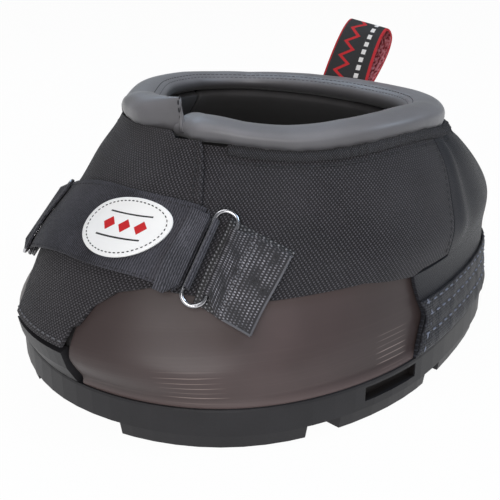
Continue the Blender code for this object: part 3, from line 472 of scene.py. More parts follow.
# Painted shade: the wall darkens towards both ends of each window and stays lighter in the middle.
ends = ((((run - toe_u).abs() - (mid_u - toe_u)).abs() - 0.012) / 0.034).clamp()
tone = brown.blend(ends * 0.75, tone, (0.046, 0.034, 0.033))
tone = brown.blend((lines * 1.6 - 0.9).clamp() * low_half * 0.5, tone, (0.125, 0.094, 0.090))
tone = brown.blend((streak_highlight * 0.9).clamp(), tone, (0.42, 0.33, 0.30))
brown.set("Base Color", brown.blend(foot_reflection * 0.6, tone, (0.160, 0.118, 0.115)))
brown.set("Roughness", 0.52 - lines * 0.12)
brown.set("Coat Weight", low_half * 0.15)
brown.bump(lines * low_half + slow * 0.3, 0.00008, 0.8)
wall_plastic = brown.material

# %% [markdown]
# ## Wire
# The rings are bent from round wire with a bright, slightly brushed plating.

# %% Bright wire
wire = Finish("bright wire", (0.50, 0.50, 0.52), 0.24, 1.0)
scratch = wire.noise(wire.place(), 900.0, 3.0)
wire.set("Base Color", wire.blend(scratch, (0.30, 0.30, 0.32), (0.62, 0.62, 0.65)))
wire.set("Roughness", 0.12 + scratch * 0.16)
bright_wire = wire.material

# %% [markdown]
# ## Sheets with rounded edges
# Cloth, webbing and thin moulded walls are all made alike: a grid of points on the outer face, a
# thickness inside it, and a narrow bevel, so that each edge catches a line of light as a cut or
# folded edge does. Each sheet keeps its own map in metres, so a weave has one scale over the whole
# boot.


# %% Grids, walls and bevels
CUT_EDGE = 0.00032


def settle(item):
    """Turns an object's modifiers into its plain mesh."""
    depsgraph = bpy.context.evaluated_depsgraph_get()
    mesh = bpy.data.meshes.new_from_object(
        item.evaluated_get(depsgraph), preserve_all_data_layers=True, depsgraph=depsgraph)
    old = item.data
    item.modifiers.clear()
    item.data = mesh
    bpy.data.meshes.remove(old)
    mesh.shade_smooth()
    return item


def add_object(name, data):
    item = bpy.data.objects.new(name, data)
    bpy.context.scene.collection.objects.link(item)
    return item


def new_object(name, points, faces, edges=()):
    mesh = bpy.data.meshes.new(name)
    mesh.from_pydata([tuple(map(float, p)) for p in points], list(edges), faces)
    return add_object(name, mesh)


def grid_faces(rows, columns, wrap=False):
    """The faces of a grid whose points go row by row."""
    faces = []
    for r in range(rows - 1):
        for c in range(columns if wrap else columns - 1):
            here, ahead = r * columns + c, r * columns + (c + 1) % columns
            faces.append((here, ahead, ahead + columns, here + columns))
    return faces


def map_cloth(item, uv):
    """Gives every point its own place on the cloth, in metres."""
    layer = item.data.uv_layers.new(name="cloth")
    corners = np.array([loop.vertex_index for loop in item.data.loops])
    layer.data.foreach_set("uv", uv.reshape(-1, 2)[corners].astype(np.float32).ravel())


def round_edges(item, width, segments, angle):
    edge = item.modifiers.new("Edge", "BEVEL")
    edge.width, edge.segments, edge.limit_method = width, segments, "ANGLE"
    edge.angle_limit = math.radians(angle)


def steps_along(grid, axis):
    """Distance run along one direction of a grid, averaged over the other."""
    run = np.linalg.norm(np.diff(grid, axis=axis), axis=-1).mean(axis=1 - axis)
    return np.concatenate(([0], np.cumsum(run)))


def sheet(name, grid, thickness, offset, finishes, uv=None, bevel=CUT_EDGE, smooth=0):
    """A thin closed piece over a grid of points, rows going up and columns going on to the right."""
    item = new_object(name, grid.reshape(-1, 3), grid_faces(*grid.shape[:2]))
    if uv is None:
        u, v = np.meshgrid(steps_along(grid, 1), steps_along(grid, 0))
        uv = np.stack((u, v), -1)
    map_cloth(item, uv)
    for finish in finishes:
        item.data.materials.append(finish)
    if smooth:
        rounder = item.modifiers.new("Smooth", "SUBSURF")
        rounder.levels = rounder.render_levels = smooth
        rounder.uv_smooth = "NONE"
    solid = item.modifiers.new("Thickness", "SOLIDIFY")
    solid.thickness = thickness
    solid.offset = offset
    solid.use_even_offset = True
    solid.material_offset = len(finishes) - 1
    if bevel:
        round_edges(item, bevel, 2, 50)
    return settle(item)


def dress(item, body, slot, *nodes):
    """Rides the piece on its body and lets it stand for its solids."""
    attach(item, body)
    if nodes:
        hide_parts(*nodes)
    return item


def between(first, last, count):
    return np.linspace(first, last, count)


def panel(name, angles, heights, out, thickness, finish, bevel=CUT_EDGE):
    """A sheet on the hoof's wall, from grids of angles and heights."""
    angles, heights, out = np.broadcast_arrays(angles, heights, out)
    uv = np.stack((np.interp(angles, girth_angles, girth), heights * WALL_SLANT), -1)
    return sheet(name, wall(angles, heights, out), thickness, -1, [finish], uv, bevel)


def lift(foot, top, rows):
    """Rows of heights from a foot line to a top line."""
    return foot + (top - foot) * between(0, 1, rows)[:, None]


# %% [markdown]
# ## Side walls and windows
# The nylon is cut away at both sides in a long window, and the hard wall stands behind it. The
# window's upper edge is a table of angles and height shares. The far window is the near one
# mirrored, a little shorter at the toe.

# %% Window lines
window_angles = np.array([7.0, 8.5, 11.0, 16.0, 23.5, 36.0, 49.5, 68.0, 83.5, 86.0, 96.0])
window_shares = np.array([0.300, 0.317, 0.404, 0.471, 0.498, 0.460, 0.431, 0.455, 0.411, 0.430, 0.430])
rear_shares, rear_angles = np.array([0.000, 0.183, 0.411]), np.array([87.3, 90.0, 83.5])
FAR_TURN = 11.8 / 85.0


def window_top(angle):
    return height_at(np.interp(angle, window_angles, window_shares))


def far(angle):
    return -(angle + FAR_TURN * (92.0 - angle))


def near_side(angle):
    return (-angle - FAR_TURN * 92.0) / (1 - FAR_TURN)


# %% The two hard walls
NYLON, SHELL, LINING, LAYER_GAP = 0.0015, 0.0022, 0.0046, 0.0008
near = np.unique(np.concatenate((between(7, 92, 90), window_angles[:9])))
foot_level = SOLE_HEIGHT - 0.0002
for side, line in (("right", near), ("left", far(near)[::-1])):
    top = window_top(line if side == "right" else near_side(line)) + 0.0036
    heights = lift(foot_level, top, 26)
    out = 0.0013 * bell(heights - foot_level, 0.0006, 0.0014) - (NYLON + LAYER_GAP)
    piece = panel(f"hard_wall_{side}", line[None, :], heights, out, SHELL, wall_plastic)
    dress(piece, "boot", "hard_wall_brown", f"side_wall_{side}")
print("side walls:", len(piece.data.polygons), "faces each")

# %% [markdown]
# ## The nylon upper
# The upper is sewn from a toe piece, two quarters and a heel piece. Cloth that is sewn to a stiff
# roll draws in between its stitches, so the quarters carry small puckers just under the collar, and
# the heel piece hangs in two soft folds behind the side seam. A narrow gathered tape covers the
# seam below the collar.


# %% Puckers and folds
def ripple(angle, waves, seed):
    """An uneven wave along the girth, from -1 to 1."""
    a = np.radians(angle)
    return (np.sin(a * waves + seed) + 0.6 * np.sin(a * waves * 1.73 + seed * 2.1)
            + 0.4 * np.sin(a * waves * 0.61 + seed * 3.7)) / 2


def puckers(angle, height):
    below = seam_height(angle) - height
    gathers = 0.00034 * ripple(angle, 88, 1.0) + 0.00022 * ripple(angle, 31, 2.0)
    return gathers * bell(below, 0, 0.0034) + 0.0005 * bell(below, 0.0010, 0.0010)


def drape(angle, height):
    """Slow waves of cloth over a padded lining."""
    share = share_at(height)
    held = smoothstep((share - 0.35) / 0.3) * smoothstep((1.02 - share) / 0.2)
    return 0.00035 * ripple(angle, 7, 2.3) * held


TOE_TOP, TOE_LEFT, QUARTER_FRONT, SIDE_SEAM = 0.548, -45.0, 28.6, 96.0
UNDER_ROLL, FLUSH_EDGE = 0.0012, 0.00008
GUARD_ANGLES, GUARD_TOP = (-18.0, 5.6), height_at(0.181) + 0.0022

# %% Toe piece
front = near[near < QUARTER_FRONT]
line = np.concatenate((
    [TOE_LEFT + 0.8], far(front)[::-1], between(*GUARD_ANGLES, 24), front, [QUARTER_FRONT - 0.4]))
over_guard = (line >= GUARD_ANGLES[0]) & (line <= GUARD_ANGLES[1])
foot = np.where(over_guard, GUARD_TOP, window_top(np.where(line > 0, line, near_side(line))))
heights = lift(foot, height_at(TOE_TOP), 22)
toe = panel("toe_nylon", line[None, :], heights, 0.0, NYLON, nylon)
dress(toe, "boot", "nylon_black", "toe_panel")

# %% Quarters
near_line = between(QUARTER_FRONT - 0.06, SIDE_SEAM, 110)
top = seam_height(near_line) + UNDER_ROLL
heights = lift(window_top(near_line), top, 34)
out = puckers(near_line, heights) + drape(near_line, heights)
quarter = panel("quarter_nylon_right", near_line[None, :], heights, out, NYLON, nylon, FLUSH_EDGE)
dress(quarter, "boot", "nylon_black", "quarter_right")

away_line = np.concatenate((between(-SIDE_SEAM, TOE_LEFT, 80), between(TOE_LEFT + 0.4, -29.6, 24)))
foot = np.where(away_line > TOE_LEFT, height_at(TOE_TOP) + 0.0003, window_top(near_side(away_line)))
heights = lift(foot, seam_height(away_line) + UNDER_ROLL, 34)
out = puckers(away_line, heights) + drape(away_line, heights)
quarter = panel("quarter_nylon_left", away_line[None, :], heights, out, NYLON, nylon)
dress(quarter, "boot", "nylon_black", "quarter_left")

# %% Heel piece
LEDGE = 0.417
shares = np.unique(np.concatenate((between(0, 1, 42), [0.411, 0.413, 0.415, LEDGE])))
start = np.interp(shares, np.append(rear_shares, LEDGE), np.append(rear_angles, SIDE_SEAM + 0.4))
angles = start[:, None] + (360 - 2 * start)[:, None] * between(0, 1, 150)[None, :]
above = np.clip(shares - LEDGE, 0, None)[:, None] / (1 - LEDGE)
heights = (np.maximum(SOLE_HEIGHT + 0.0003, height_at(shares))[:, None]
           + (seam_height(angles) + UNDER_ROLL - SEAM_HEIGHT) * above)
mirrored = np.minimum(angles, 360 - angles)
crease = 0.0011 * bell(mirrored, 101, 2.6) - 0.0006 * bell(mirrored, 106.5, 2.8)
crease = crease + 0.0006 * bell(mirrored, 115, 5)
crease = crease * smoothstep(above / 0.25) * smoothstep((1.02 - above) / 0.15)
heel = panel("heel_nylon", angles, heights, crease + puckers(angles, heights), NYLON, heel_cloth)
dress(heel, "boot", "nylon_black", "heel_panel")

# %% Seam tape under the collar
tape_line = between(29.0, 327.0, 900)
tape_seam = seam_height(tape_line)
heights = lift(tape_seam - 0.0027, tape_seam + 0.0008, 9)
rolled = 0.0004 * bell(tape_seam - 0.0012 - heights, 0, 0.0013)
out = 0.0006 + rolled + 0.00022 * ripple(tape_line, 170, 1.7) + 0.00012 * ripple(tape_line, 420, 0.4)
out = out + puckers(tape_line, heights)
seam_tape = panel("collar_seam_tape", tape_line[None, :], heights, out, 0.0005, seam_cloth, 0)
dress(seam_tape, "boot", "nylon_black")

# %% Wear patch round the heel
PATCH = 0.0009
shares = between(0.020, 0.270, 18)
start = np.interp(shares, rear_shares, rear_angles) - 0.3
angles = start[:, None] + (360 - 2 * start)[:, None] * between(0, 1, 260)[None, :]
heights = np.broadcast_to(height_at(shares)[:, None], angles.shape)
quilt = 0.00045 * np.abs(np.sin(np.pi * (shares - 0.020) / 0.0833))[:, None]
out = 0.0002 + PATCH + quilt + 0.00022 * ripple(angles, 70, 4.0)
guard = panel("heel_patch", angles, heights, out, PATCH, patch_cloth)
dress(guard, "boot", "heel_patch_black", "heel_guard")

# %% [markdown]
# ## Lining and footbed
# Inside, a padded knit lining stands behind the walls in four pieces. It is seen only in the shade
# of the mouth, but it gives the opening its soft depth, so each piece is thick and its edges are
# well rounded. The footbed pad has rounded edges too.

# %% Padded lining
inside = -(NYLON + SHELL + LAYER_GAP + 0.0008)
low = SOLE_HEIGHT + 0.0025 + 0.0032
edge = QUARTER_FRONT + 1.5
pieces = {
    "toe": (between(-edge + 1.5, edge - 1.5, 30), height_at(TOE_TOP)),
    "right": (between(edge, SIDE_SEAM, 50), None),
    "left": (between(-SIDE_SEAM, -edge - 3, 50), None),
    "heel": (between(SIDE_SEAM + 1.5, 360 - SIDE_SEAM - 1.5, 90), None),
}
for part, (line, top) in pieces.items():
    heights = lift(low, top or seam_height(line) - 0.0008, 20)
    lining = panel(f"padded_lining_{part}", line[None, :], heights, inside, LINING, lining_cloth, 0.0012)
    dress(lining, "boot", "lining_grey", f"lining_{part}")


# %% Footbed and board
def softened(name, node, finish, bevel):
    """A copy of a solid with its doubles merged and its edges rounded."""
    source = bpy.data.objects[node]
    item = add_object(name, source.data.copy())
    form = bmesh.new()
    form.from_mesh(item.data)
    bmesh.ops.remove_doubles(form, verts=form.verts, dist=0.00002)
    bmesh.ops.dissolve_limit(form, angle_limit=math.radians(1.0), verts=form.verts, edges=form.edges)
    form.to_mesh(item.data)
    form.free()
    item.data.materials.clear()
    item.data.materials.append(finish)
    round_edges(item, bevel, 3, 30)
    return settle(item)


pad = dress(softened("foam_footbed", "footbed_pad", foam, 0.0018), "boot", "foam_black", "footbed_pad")
dress(softened("stiff_board", "insole_board", fibre_board, 0.0004), "boot", "board_grey", "insole_board")

# %% [markdown]
# ## The sole
# The sole keeps its own solid, because its lugs and grooves are cut there. It needs only the
# rubber.

# %% Rubber sole
for material_slot in bpy.data.objects["outsole"].material_slots:
    material_slot.material = rubber

# %% [markdown]
# ## The padded collar
# The collar is neoprene sewn round soft filling. It is lofted from oval sections that stand on the
# seam. Two sewn lines press a shallow channel into its inner edge, and the seam below draws the
# outer skin into small puckers. The end that rides on the flap has two soft dents, and its filling
# runs out to a thin, slanting sewn edge.

# %% Sections of the roll
HALF_WIDTH, ROLL_HEIGHT, ROLL_INSET = 0.0080, 0.0082, 0.0045
roll_table = (
    [6, 17, 32, 44, 60, 80, 104, 130, 165, 200, 230, 250, 270, 300, 327],
    [0.84, 0.94, 0.84, 0.89, 1.00, 0.92, 1.15, 1.20, 1.12, 1.03, 0.85, 0.89, 0.99, 1.07, 1.15],
    0.0)
end_table = ([-32, -20, -10, 0, 10], [1.04, 1.16, 1.22, 1.36, 1.44], 0.0022)
SEWN_TURNS = (-0.62, -0.98)
ROLL_SIDES = 48
FULL_CORNER = 0.62


def roll_points(angle, turn, table=roll_table, size=1.0, shift=0.0, dents=0.0, flat=0.0):
    """Points of the roll at angles round the hoof and turns round the section, from its top outwards."""
    angle, turn, size, shift = np.broadcast_arrays(angle, turn, size, shift)
    height = ROLL_HEIGHT * np.interp(angle, table[0], table[1]) * size
    level = seam_height(angle) + table[2] + height / 2
    centre = level_wall(angle, level, shift - ROLL_INSET)
    ahead = step_round(angle, level)
    outward = unit(np.stack((ahead[..., 1], -ahead[..., 0], np.zeros_like(level)), -1))
    sewn = sum(bell(turn - 2 * math.pi, t, 0.075) for t in SEWN_TURNS)
    pucker = ripple(angle, 46, 3.0) * bell(turn, 2.35, 0.42)
    swell = 1 - 0.045 * sewn + 0.035 * pucker + 0.012 * ripple(angle, 11, 5.0) - dents
    full = np.where((turn > math.pi / 2) & (turn < math.pi), FULL_CORNER, 1.0)
    s, c = np.sin(turn), np.cos(turn)
    across = HALF_WIDTH * (1 + size) / 2 * np.sign(s) * np.abs(s) ** full * swell
    across = across * np.where(s > 0, 1 - 0.72 * flat, 1 - 1.12 * flat)
    up = height / 2 * np.sign(c) * np.abs(c) ** full * swell
    up = up - 0.0008 * size * np.clip(-c, 0, 1)
    return centre + outward * across[..., None] + np.stack((0 * up, 0 * up, up), -1)


def roll(name, table, first, last, rings, end, shift_at, dent_at, flat_at, slant):
    """A closed roll with blunt, rounded ends; a slant turns its end where the filling has run out."""
    t = between(0, math.pi / 2, 8)
    sizes = np.sin(t) ** 0.5
    sizes[0] = 0.10
    lead = end * (1 - np.cos(t))
    middle = between(first + end, last - end, rings)[1:-1]
    angles = np.concatenate((first + lead, middle, (last - lead)[::-1]))
    sizes = np.concatenate((sizes, np.ones(rings - 2), sizes[::-1]))
    turns = between(0, 2 * math.pi, ROLL_SIDES + 1)[:-1]
    a, turn = np.meshgrid(angles, turns, indexing="ij")
    a = a - slant * np.cos(turn) * flat_at(a)
    grid = roll_points(a, turn, table, sizes[:, None], shift_at(a), dent_at(a, turn), flat_at(a))
    points = grid.reshape(-1, 3)
    ends = [tuple(reversed(range(ROLL_SIDES))), tuple(range(len(points) - ROLL_SIDES, len(points)))]
    item = new_object(name, points, [ends[0], *grid_faces(len(angles), ROLL_SIDES, True), ends[1]])
    item.data.materials.append(neoprene)
    item.data.shade_smooth()
    return item


# %% The roll and its end on the flap
COLLAR_ANGLES, END_ANGLES, END_SLANT, END_OUT = (6.4, 326.9), (-32.2, 11.0), 1.4, 0.0040


def tucked(angle):
    return -END_OUT * (1 - smoothstep((angle - 8.5) / 9.0))


def end_shift(angle):
    return END_OUT * smoothstep((angle + 32.2) / 43.2)


def end_flat(angle):
    """How far the filling has run out, 1 at the sewn edge."""
    return smoothstep((angle + 6.0) / 15.5)


def end_dents(angle, turn):
    first = bell(angle, -14, 5.5) * bell(turn, 1.25, 0.55)
    second = bell(angle, 4, 5.0) * bell(turn, 1.9, 0.6)
    return 0.10 * first + 0.08 * second


collar = roll("padded_collar", roll_table, *COLLAR_ANGLES, 300, 1.6,
              tucked, lambda a, t: 0.0, lambda a: 0.0, 0.0)
dress(collar, "boot", "collar_grey", "collar_roll")
collar_end = roll("padded_collar_end", end_table, *END_ANGLES, 70, 1.5,
                  end_shift, end_dents, end_flat, END_SLANT)
dress(collar_end, "front_flap", "collar_grey", "front_collar_end")

# %% [markdown]
# ## Flaps
# The outer flap is cut with a slanting free edge and closes over the inner one. It is the same
# nylon, sewn double along the free edge.

# %% Outer and inner flap
FLAP_GAP, FLAP, FLAP_SEWN = 0.0004, 0.0015, -32.6
FLAP_OUT, FLAP_TOP_DROP = FLAP_GAP + FLAP, 0.0003
flap_shares = np.array([0.566, 0.793, 0.900, 1.000])
flap_edges = np.array([28.2, 26.8, 24.2, 20.5])


def flap_height(angle, t):
    """Height on the outer flap, t from its foot to its top, which is raised under the collar's end."""
    raised = 0.0012 + 0.0022 * (1 - smoothstep((angle - 8.0) / 3.0))
    foot = height_at(flap_shares[0])
    return foot + (seam_height(angle) - FLAP_TOP_DROP + raised - foot) * t


def flap_edge(t):
    return np.interp(flap_shares[0] + (1 - flap_shares[0]) * t, flap_shares, flap_edges)


t = between(0, 1, 40)[:, None]
angles = FLAP_SEWN + (flap_edge(t) - FLAP_SEWN) * between(0, 1, 96)[None, :]
heights = flap_height(angles, t)
hem = (0.0006 + 0.0003 * np.sin(60 * t)) * bell(flap_edge(t) - angles, 0.9, 0.8)
out = FLAP_OUT + hem + 0.3 * drape(angles, heights)
flap = panel("flap_nylon", angles, heights, out, FLAP, nylon)
sewn, free = wall(FLAP_SEWN + 0.6, height_at(0.78)), wall(-27.0, height_at(0.78))
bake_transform(flap)
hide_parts("front_flap")

line = np.concatenate((between(-8.0, 28.42, 44), [28.50, 28.58], between(28.8, 31.0, 6)))
heights = lift(height_at(0.560), seam_height(line) - 0.0008, 26)
out = -0.0019 * (line > 28.55)
inner = panel("inner_flap_nylon", line[None, :], heights, out, NYLON, nylon, FLUSH_EDGE)
free, sewn = wall(26.4, height_at(0.78)), wall(29.6, height_at(0.78))
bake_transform(inner)
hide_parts("inner_flap")

# %% [markdown]
# ## Strap and rings
# The strap crosses the toe and turns round the inner bar of each wire ring. On the far side it is
# sewn back on itself, and on the near side it ends in a tab that hooks down on the band. A ring
# place works out both bars from the wall, so that the strap, the ring and its keeper all meet. The
# fold is an arc round the bar.

# %% Where the rings lie
STRAP, FOLD, KEEPER, BASE, WIRE_RADIUS = 0.0012, 0.0008, 0.0006, 0.0005, 0.00078
STRAP_GAP, STRAP_FOOT, STRAP_TOP = 0.0004, 0.478, 0.777
BAR_ANGLE, BASE_ANGLES, BAND_END = 31.2, (34.6, 50.0), 28.6
RING_SPAN, HOOK_PAD, PLY_GAP = 0.0080, 0.0009, 0.0002
FOLD_RADIUS = WIRE_RADIUS + 0.0006 + FOLD / 2
KEEPER_RADIUS = WIRE_RADIUS + 0.0003 + KEEPER / 2
STRAP_OUT = FLAP_OUT + STRAP_GAP + STRAP / 2
BAR_OUT = STRAP_GAP + FOLD / 2 + FOLD_RADIUS
KEEPER_OUT = STRAP_GAP + BASE + PLY_GAP + KEEPER / 2
KEEPER_BACK = KEEPER_OUT + KEEPER + PLY_GAP
KEEPER_FACE = KEEPER_BACK + KEEPER / 2


def strap_height(t, angle):
    """Height across the strap, t from its lower edge up.

    It arches over the toe and hangs on the far side.
    """
    arch = 0.0046 * (1 + 0.40 * (1 - t)) * np.clip(1 - (angle / BAR_ANGLE) ** 4, 0, None)
    level = height_at(STRAP_FOOT + (STRAP_TOP - STRAP_FOOT) * t)
    return level + arch - 0.0055 * smoothstep(-angle / BAR_ANGLE)


class RingPlace:
    """The two bars of a ring and its own directions."""

    def __init__(self, side, rise):
        self.side = side
        low, high = strap_height(0.13, side * BAR_ANGLE), strap_height(0.93, side * BAR_ANGLE)
        self.foot = wall(side * BAR_ANGLE, low, BAR_OUT + rise)
        self.top = wall(side * BAR_ANGLE, high, BAR_OUT + rise)
        self.middle = (self.foot + self.top) / 2
        self.up = unit(self.top - self.foot)
        self.length = np.linalg.norm(self.top - self.foot)
        near_angle, far_angle = BAR_ANGLE, BASE_ANGLES[1]
        for _ in range(20):
            angle = (near_angle + far_angle) / 2
            away = wall(side * angle, (low + high) / 2, KEEPER_OUT + KEEPER_RADIUS) - self.middle
            away = away - self.up * (away @ self.up)
            if np.linalg.norm(away) < RING_SPAN:
                near_angle = angle
            else:
                far_angle = angle
        self.away = unit(away)
        self.out = np.cross(self.away, self.up) * side

    def bar(self, t, outer=False):
        return self.foot + (self.top - self.foot) * t + self.away * (RING_SPAN if outer else 0.0)

    def arc(self, centre, radius, first, last, count):
        turn = np.radians(between(first, last, count))[:, None]
        return centre + self.away * radius * np.cos(turn) + self.out * radius * np.sin(turn)

    def rows(self, line_at, inset=0.0, count=13):
        """Rows of points across the strap, ordered so that the face looks out."""
        lines = [line_at(t) for t in between(inset, 1 - inset, count)]
        return np.array([line if self.side > 0 else line[::-1] for line in lines])


places = {"right": RingPlace(1, 0.0007), "left": RingPlace(-1, 0.0014)}
print("ring bars:", round(places["right"].length * 1000, 1), "mm")

# %% Band and folds
angles = between(-BAND_END, BAND_END, 90)
band = np.array([wall(angles, strap_height(t, angles), STRAP_OUT) for t in between(0, 1, 15)])
band = sheet("strap_webbing", band, STRAP, 0, [strap_cloth])
dress(band, "front_flap", "strap_black", "strap_band")


def fold_line(place, t, close_angle):
    """The strap round a bar; with a closing angle it also runs back over the band."""
    start_angle = place.side * (BAND_END + 0.4)
    start = wall(start_angle, strap_height(t, start_angle), STRAP_OUT)
    line = [start[None], place.arc(place.bar(t), FOLD_RADIUS, -140, 110 if close_angle else 90, 21)]
    if close_angle:
        run = place.side * between(29.2, close_angle, 12)
        line.append(wall(run, strap_height(t, run), STRAP_OUT + STRAP + 0.0004))
    return np.concatenate(line)


right, left = places["right"], places["left"]
grid = right.rows(lambda t: fold_line(right, t, None))
# The right fold wears the lighter webbing, a painted highlight.
fold = sheet("strap_fold_webbing_right", grid, FOLD, 0, [highlit_strap_cloth])
dress(fold, "front_flap", "strap_black", "strap_fold_right")
anchor = wall(BAND_END + 0.4, strap_height(0.5, BAR_ANGLE), STRAP_OUT)
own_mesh(fold)
grid = left.rows(lambda t: fold_line(left, t, 24.5))
fold = sheet("strap_fold_webbing_left", grid, FOLD, 0, [strap_cloth])
dress(fold, "front_flap", "strap_black", "strap_fold_left")


# %% Free end and its hook pad
TAB_ANGLES = (25.2, 27.6)


def tab_line(t):
    root = right.bar(t) + right.out * FOLD_RADIUS - right.away * (0.0012 + WIRE_RADIUS / 2)
    run = between(*TAB_ANGLES, 10)
    upper = wall(run, strap_height(t, run), STRAP_OUT + STRAP + HOOK_PAD + 0.0008)
    return np.concatenate((upper, root[None]))


tab = sheet("strap_end_webbing", right.rows(tab_line), STRAP, 0, [highlit_strap_cloth])
dress(tab, "strap_tab", "strap_black", "strap_tab")
run = between(*TAB_ANGLES, 8)
pad_out = STRAP_OUT + (STRAP + HOOK_PAD) / 2 + 0.0004
pad_grid = right.rows(lambda t: wall(run, strap_height(t, run), pad_out), 0.12)
pad = sheet("hook_pad_tape", pad_grid, 0.0007, 0, [hook_tape], bevel=0.0001)
dress(pad, "strap_tab", "hook_pad_black", "hook_pad")


# %% [markdown]
# ## Keepers
# A keeper is a short piece of tape sewn on a base patch. It goes round the ring's outer bar and
# lies back on itself. The patch below it reaches under the ring, so the ring's slot shows mesh.

# %% Keepers and base patches
KEEPER_DROP, KEEPER_LEAN = 0.0125, 3.0


def keeper_spot(place, t, angle, out):
    """A point of a keeper or its patch, which hang and lean away from the bar."""
    ahead = (angle - BAR_ANGLE) / (BASE_ANGLES[1] - BAR_ANGLE)
    height = strap_height(t, place.side * BAR_ANGLE) - KEEPER_DROP * ahead
    return wall(place.side * (angle - KEEPER_LEAN * (1 - t) * ahead), height, out)


def keeper_line(place, t):
    run = between(40.6, 49.7, 16)
    arc = place.arc(place.bar(t, True), KEEPER_RADIUS, 270, 60, 15)
    lower = keeper_spot(place, t, run[::-1], KEEPER_OUT)
    return np.concatenate((lower, arc, keeper_spot(place, t, run, KEEPER_BACK)))


base_run = between(*BASE_ANGLES, 30)
for name, place in places.items():
    grid = place.rows(lambda t: keeper_line(place, t), 0.02)
    keeper = sheet(f"keeper_tape_{name}", grid, KEEPER, 0, [patch_mesh])
    dress(keeper, "boot", "keeper_mesh", f"ring_keeper_{name}")
    grid = place.rows(lambda t: keeper_spot(place, t, base_run, STRAP_GAP + BASE / 2))
    patch = sheet(f"keeper_patch_{name}", grid, BASE, 0, [keeper_tape], bevel=0.0002)
    dress(patch, "boot", "keeper_mesh", f"keeper_base_{name}")

# %% [markdown]
# ## Things that follow a path
# Wire, bindings and stitches all follow a line. One Geometry Nodes tree sweeps a round section
# along an edge line, and a second one lays a short thread every few millimetres along it. Both take
# their sizes as named inputs and end as plain mesh, so a seam is one line of points and a pitch.

# %% A tree that sweeps a round section
def new_tree(name, sizes):
    tree = bpy.data.node_groups.new(name, "GeometryNodeTree")
    tree.interface.new_socket("Geometry", in_out="INPUT", socket_type="NodeSocketGeometry")
    for label in sizes:
        tree.interface.new_socket(label, in_out="INPUT", socket_type="NodeSocketFloat")
    tree.interface.new_socket("Finish", in_out="INPUT", socket_type="NodeSocketMaterial")
    tree.interface.new_socket("Geometry", in_out="OUTPUT", socket_type="NodeSocketGeometry")
    return tree, tree.nodes.new("NodeGroupInput"), tree.nodes.new("NodeGroupOutput")


def add(tree, kind, settings=None, **values):
    """Adds a node, its settings first, then its sockets' values or links."""
    node = tree.nodes.new(kind)
    for key, value in (settings or {}).items():
        setattr(node, key, value)
    for key, value in values.items():
        socket = node.inputs[key.replace("_", " ")]
        if isinstance(value, bpy.types.NodeSocket):
            tree.links.new(value, socket)
        else:
            socket.default_value = value
    return node.outputs


def close_tree(tree, geometry, source, last):
    real = add(tree, "GeometryNodeRealizeInstances", Geometry=geometry)
    smooth = add(tree, "GeometryNodeSetShadeSmooth", Geometry=real[0])
    finish = add(tree, "GeometryNodeSetMaterial", Geometry=smooth[0], Material=source.outputs["Finish"])
    tree.links.new(finish[0], last.inputs[0])


sweep, source, last = new_tree("round section along a line", ["Radius"])
line = add(sweep, "GeometryNodeMeshToCurve", Mesh=source.outputs["Geometry"])
ring = add(sweep, "GeometryNodeCurvePrimitiveCircle", Resolution=10, Radius=source.outputs["Radius"])
tube = add(sweep, "GeometryNodeCurveToMesh", Curve=line[0], Profile_Curve=ring[0], Fill_Caps=True)
close_tree(sweep, tube[0], source, last)

# %% A tree that sews
sewing, source, last = new_tree("stitches along a line", ["Pitch", "Stitch Length", "Thread Radius"])
line = add(sewing, "GeometryNodeMeshToCurve", Mesh=source.outputs["Geometry"])
spots = add(sewing, "GeometryNodeCurveToPoints", {"mode": "LENGTH"},
            Curve=line[0], Length=source.outputs["Pitch"])
thread = add(sewing, "GeometryNodeMeshUVSphere", Segments=6, Rings=5, Radius=1.0)
half = add(sewing, "ShaderNodeMath", {"operation": "MULTIPLY"})
sewing.links.new(source.outputs["Stitch Length"], half[0].node.inputs[0])
half[0].node.inputs[1].default_value = 0.5
radius = source.outputs["Thread Radius"]
shape = add(sewing, "ShaderNodeCombineXYZ", X=radius, Y=radius, Z=half[0])
laid = add(sewing, "GeometryNodeInstanceOnPoints", Points=spots["Points"], Instance=thread["Mesh"],
           Rotation=spots["Rotation"], Scale=shape[0])
close_tree(sewing, laid[0], source, last)


def along_lines(name, tree, lines, closed, finish, body, slot, **sizes):
    """Runs a tree along lines of points and keeps the result as plain mesh."""
    points, edges = [], []
    for line in lines:
        first = len(points)
        points.extend(line)
        edges.extend((first + i, first + i + 1) for i in range(len(line) - 1))
        if closed:
            edges.append((len(points) - 1, first))
    item = new_object(name, points, [], edges)
    maker = item.modifiers.new("Maker", "NODES")
    maker.node_group = tree
    labels = {socket.name: socket.identifier
              for socket in tree.interface.items_tree if socket.in_out == "INPUT"}
    for label, value in sizes.items():
        maker[labels[label.replace("_", " ")]] = value
    maker[labels["Finish"]] = finish
    settle(item)
    return dress(item, body, slot)


# %% Wire rings
def ring_path(place):
    straight, bend = place.length / 2 + 0.0004, RING_SPAN / 2
    centre = place.middle + place.away * bend
    path = []
    for end, first in ((1, 0), (-1, 180)):
        turn = np.radians(between(first, first + 180, 17))[:, None]
        along = place.up * (end * straight + bend * np.sin(turn))
        path.extend(centre + place.away * bend * np.cos(turn) + along)
    return path


for name, place in places.items():
    item = along_lines(f"wire_ring_{name}", sweep, [ring_path(place)], True, bright_wire,
                       f"ring_{name}", "steel_dark", Radius=WIRE_RADIUS)
    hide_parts(f"ring_{name}")

# %% [markdown]
# ## Bound edges
# The keeper's free edges are bound in narrow tape, which reads as a thin line. A swept section of
# the same width lies on each edge.

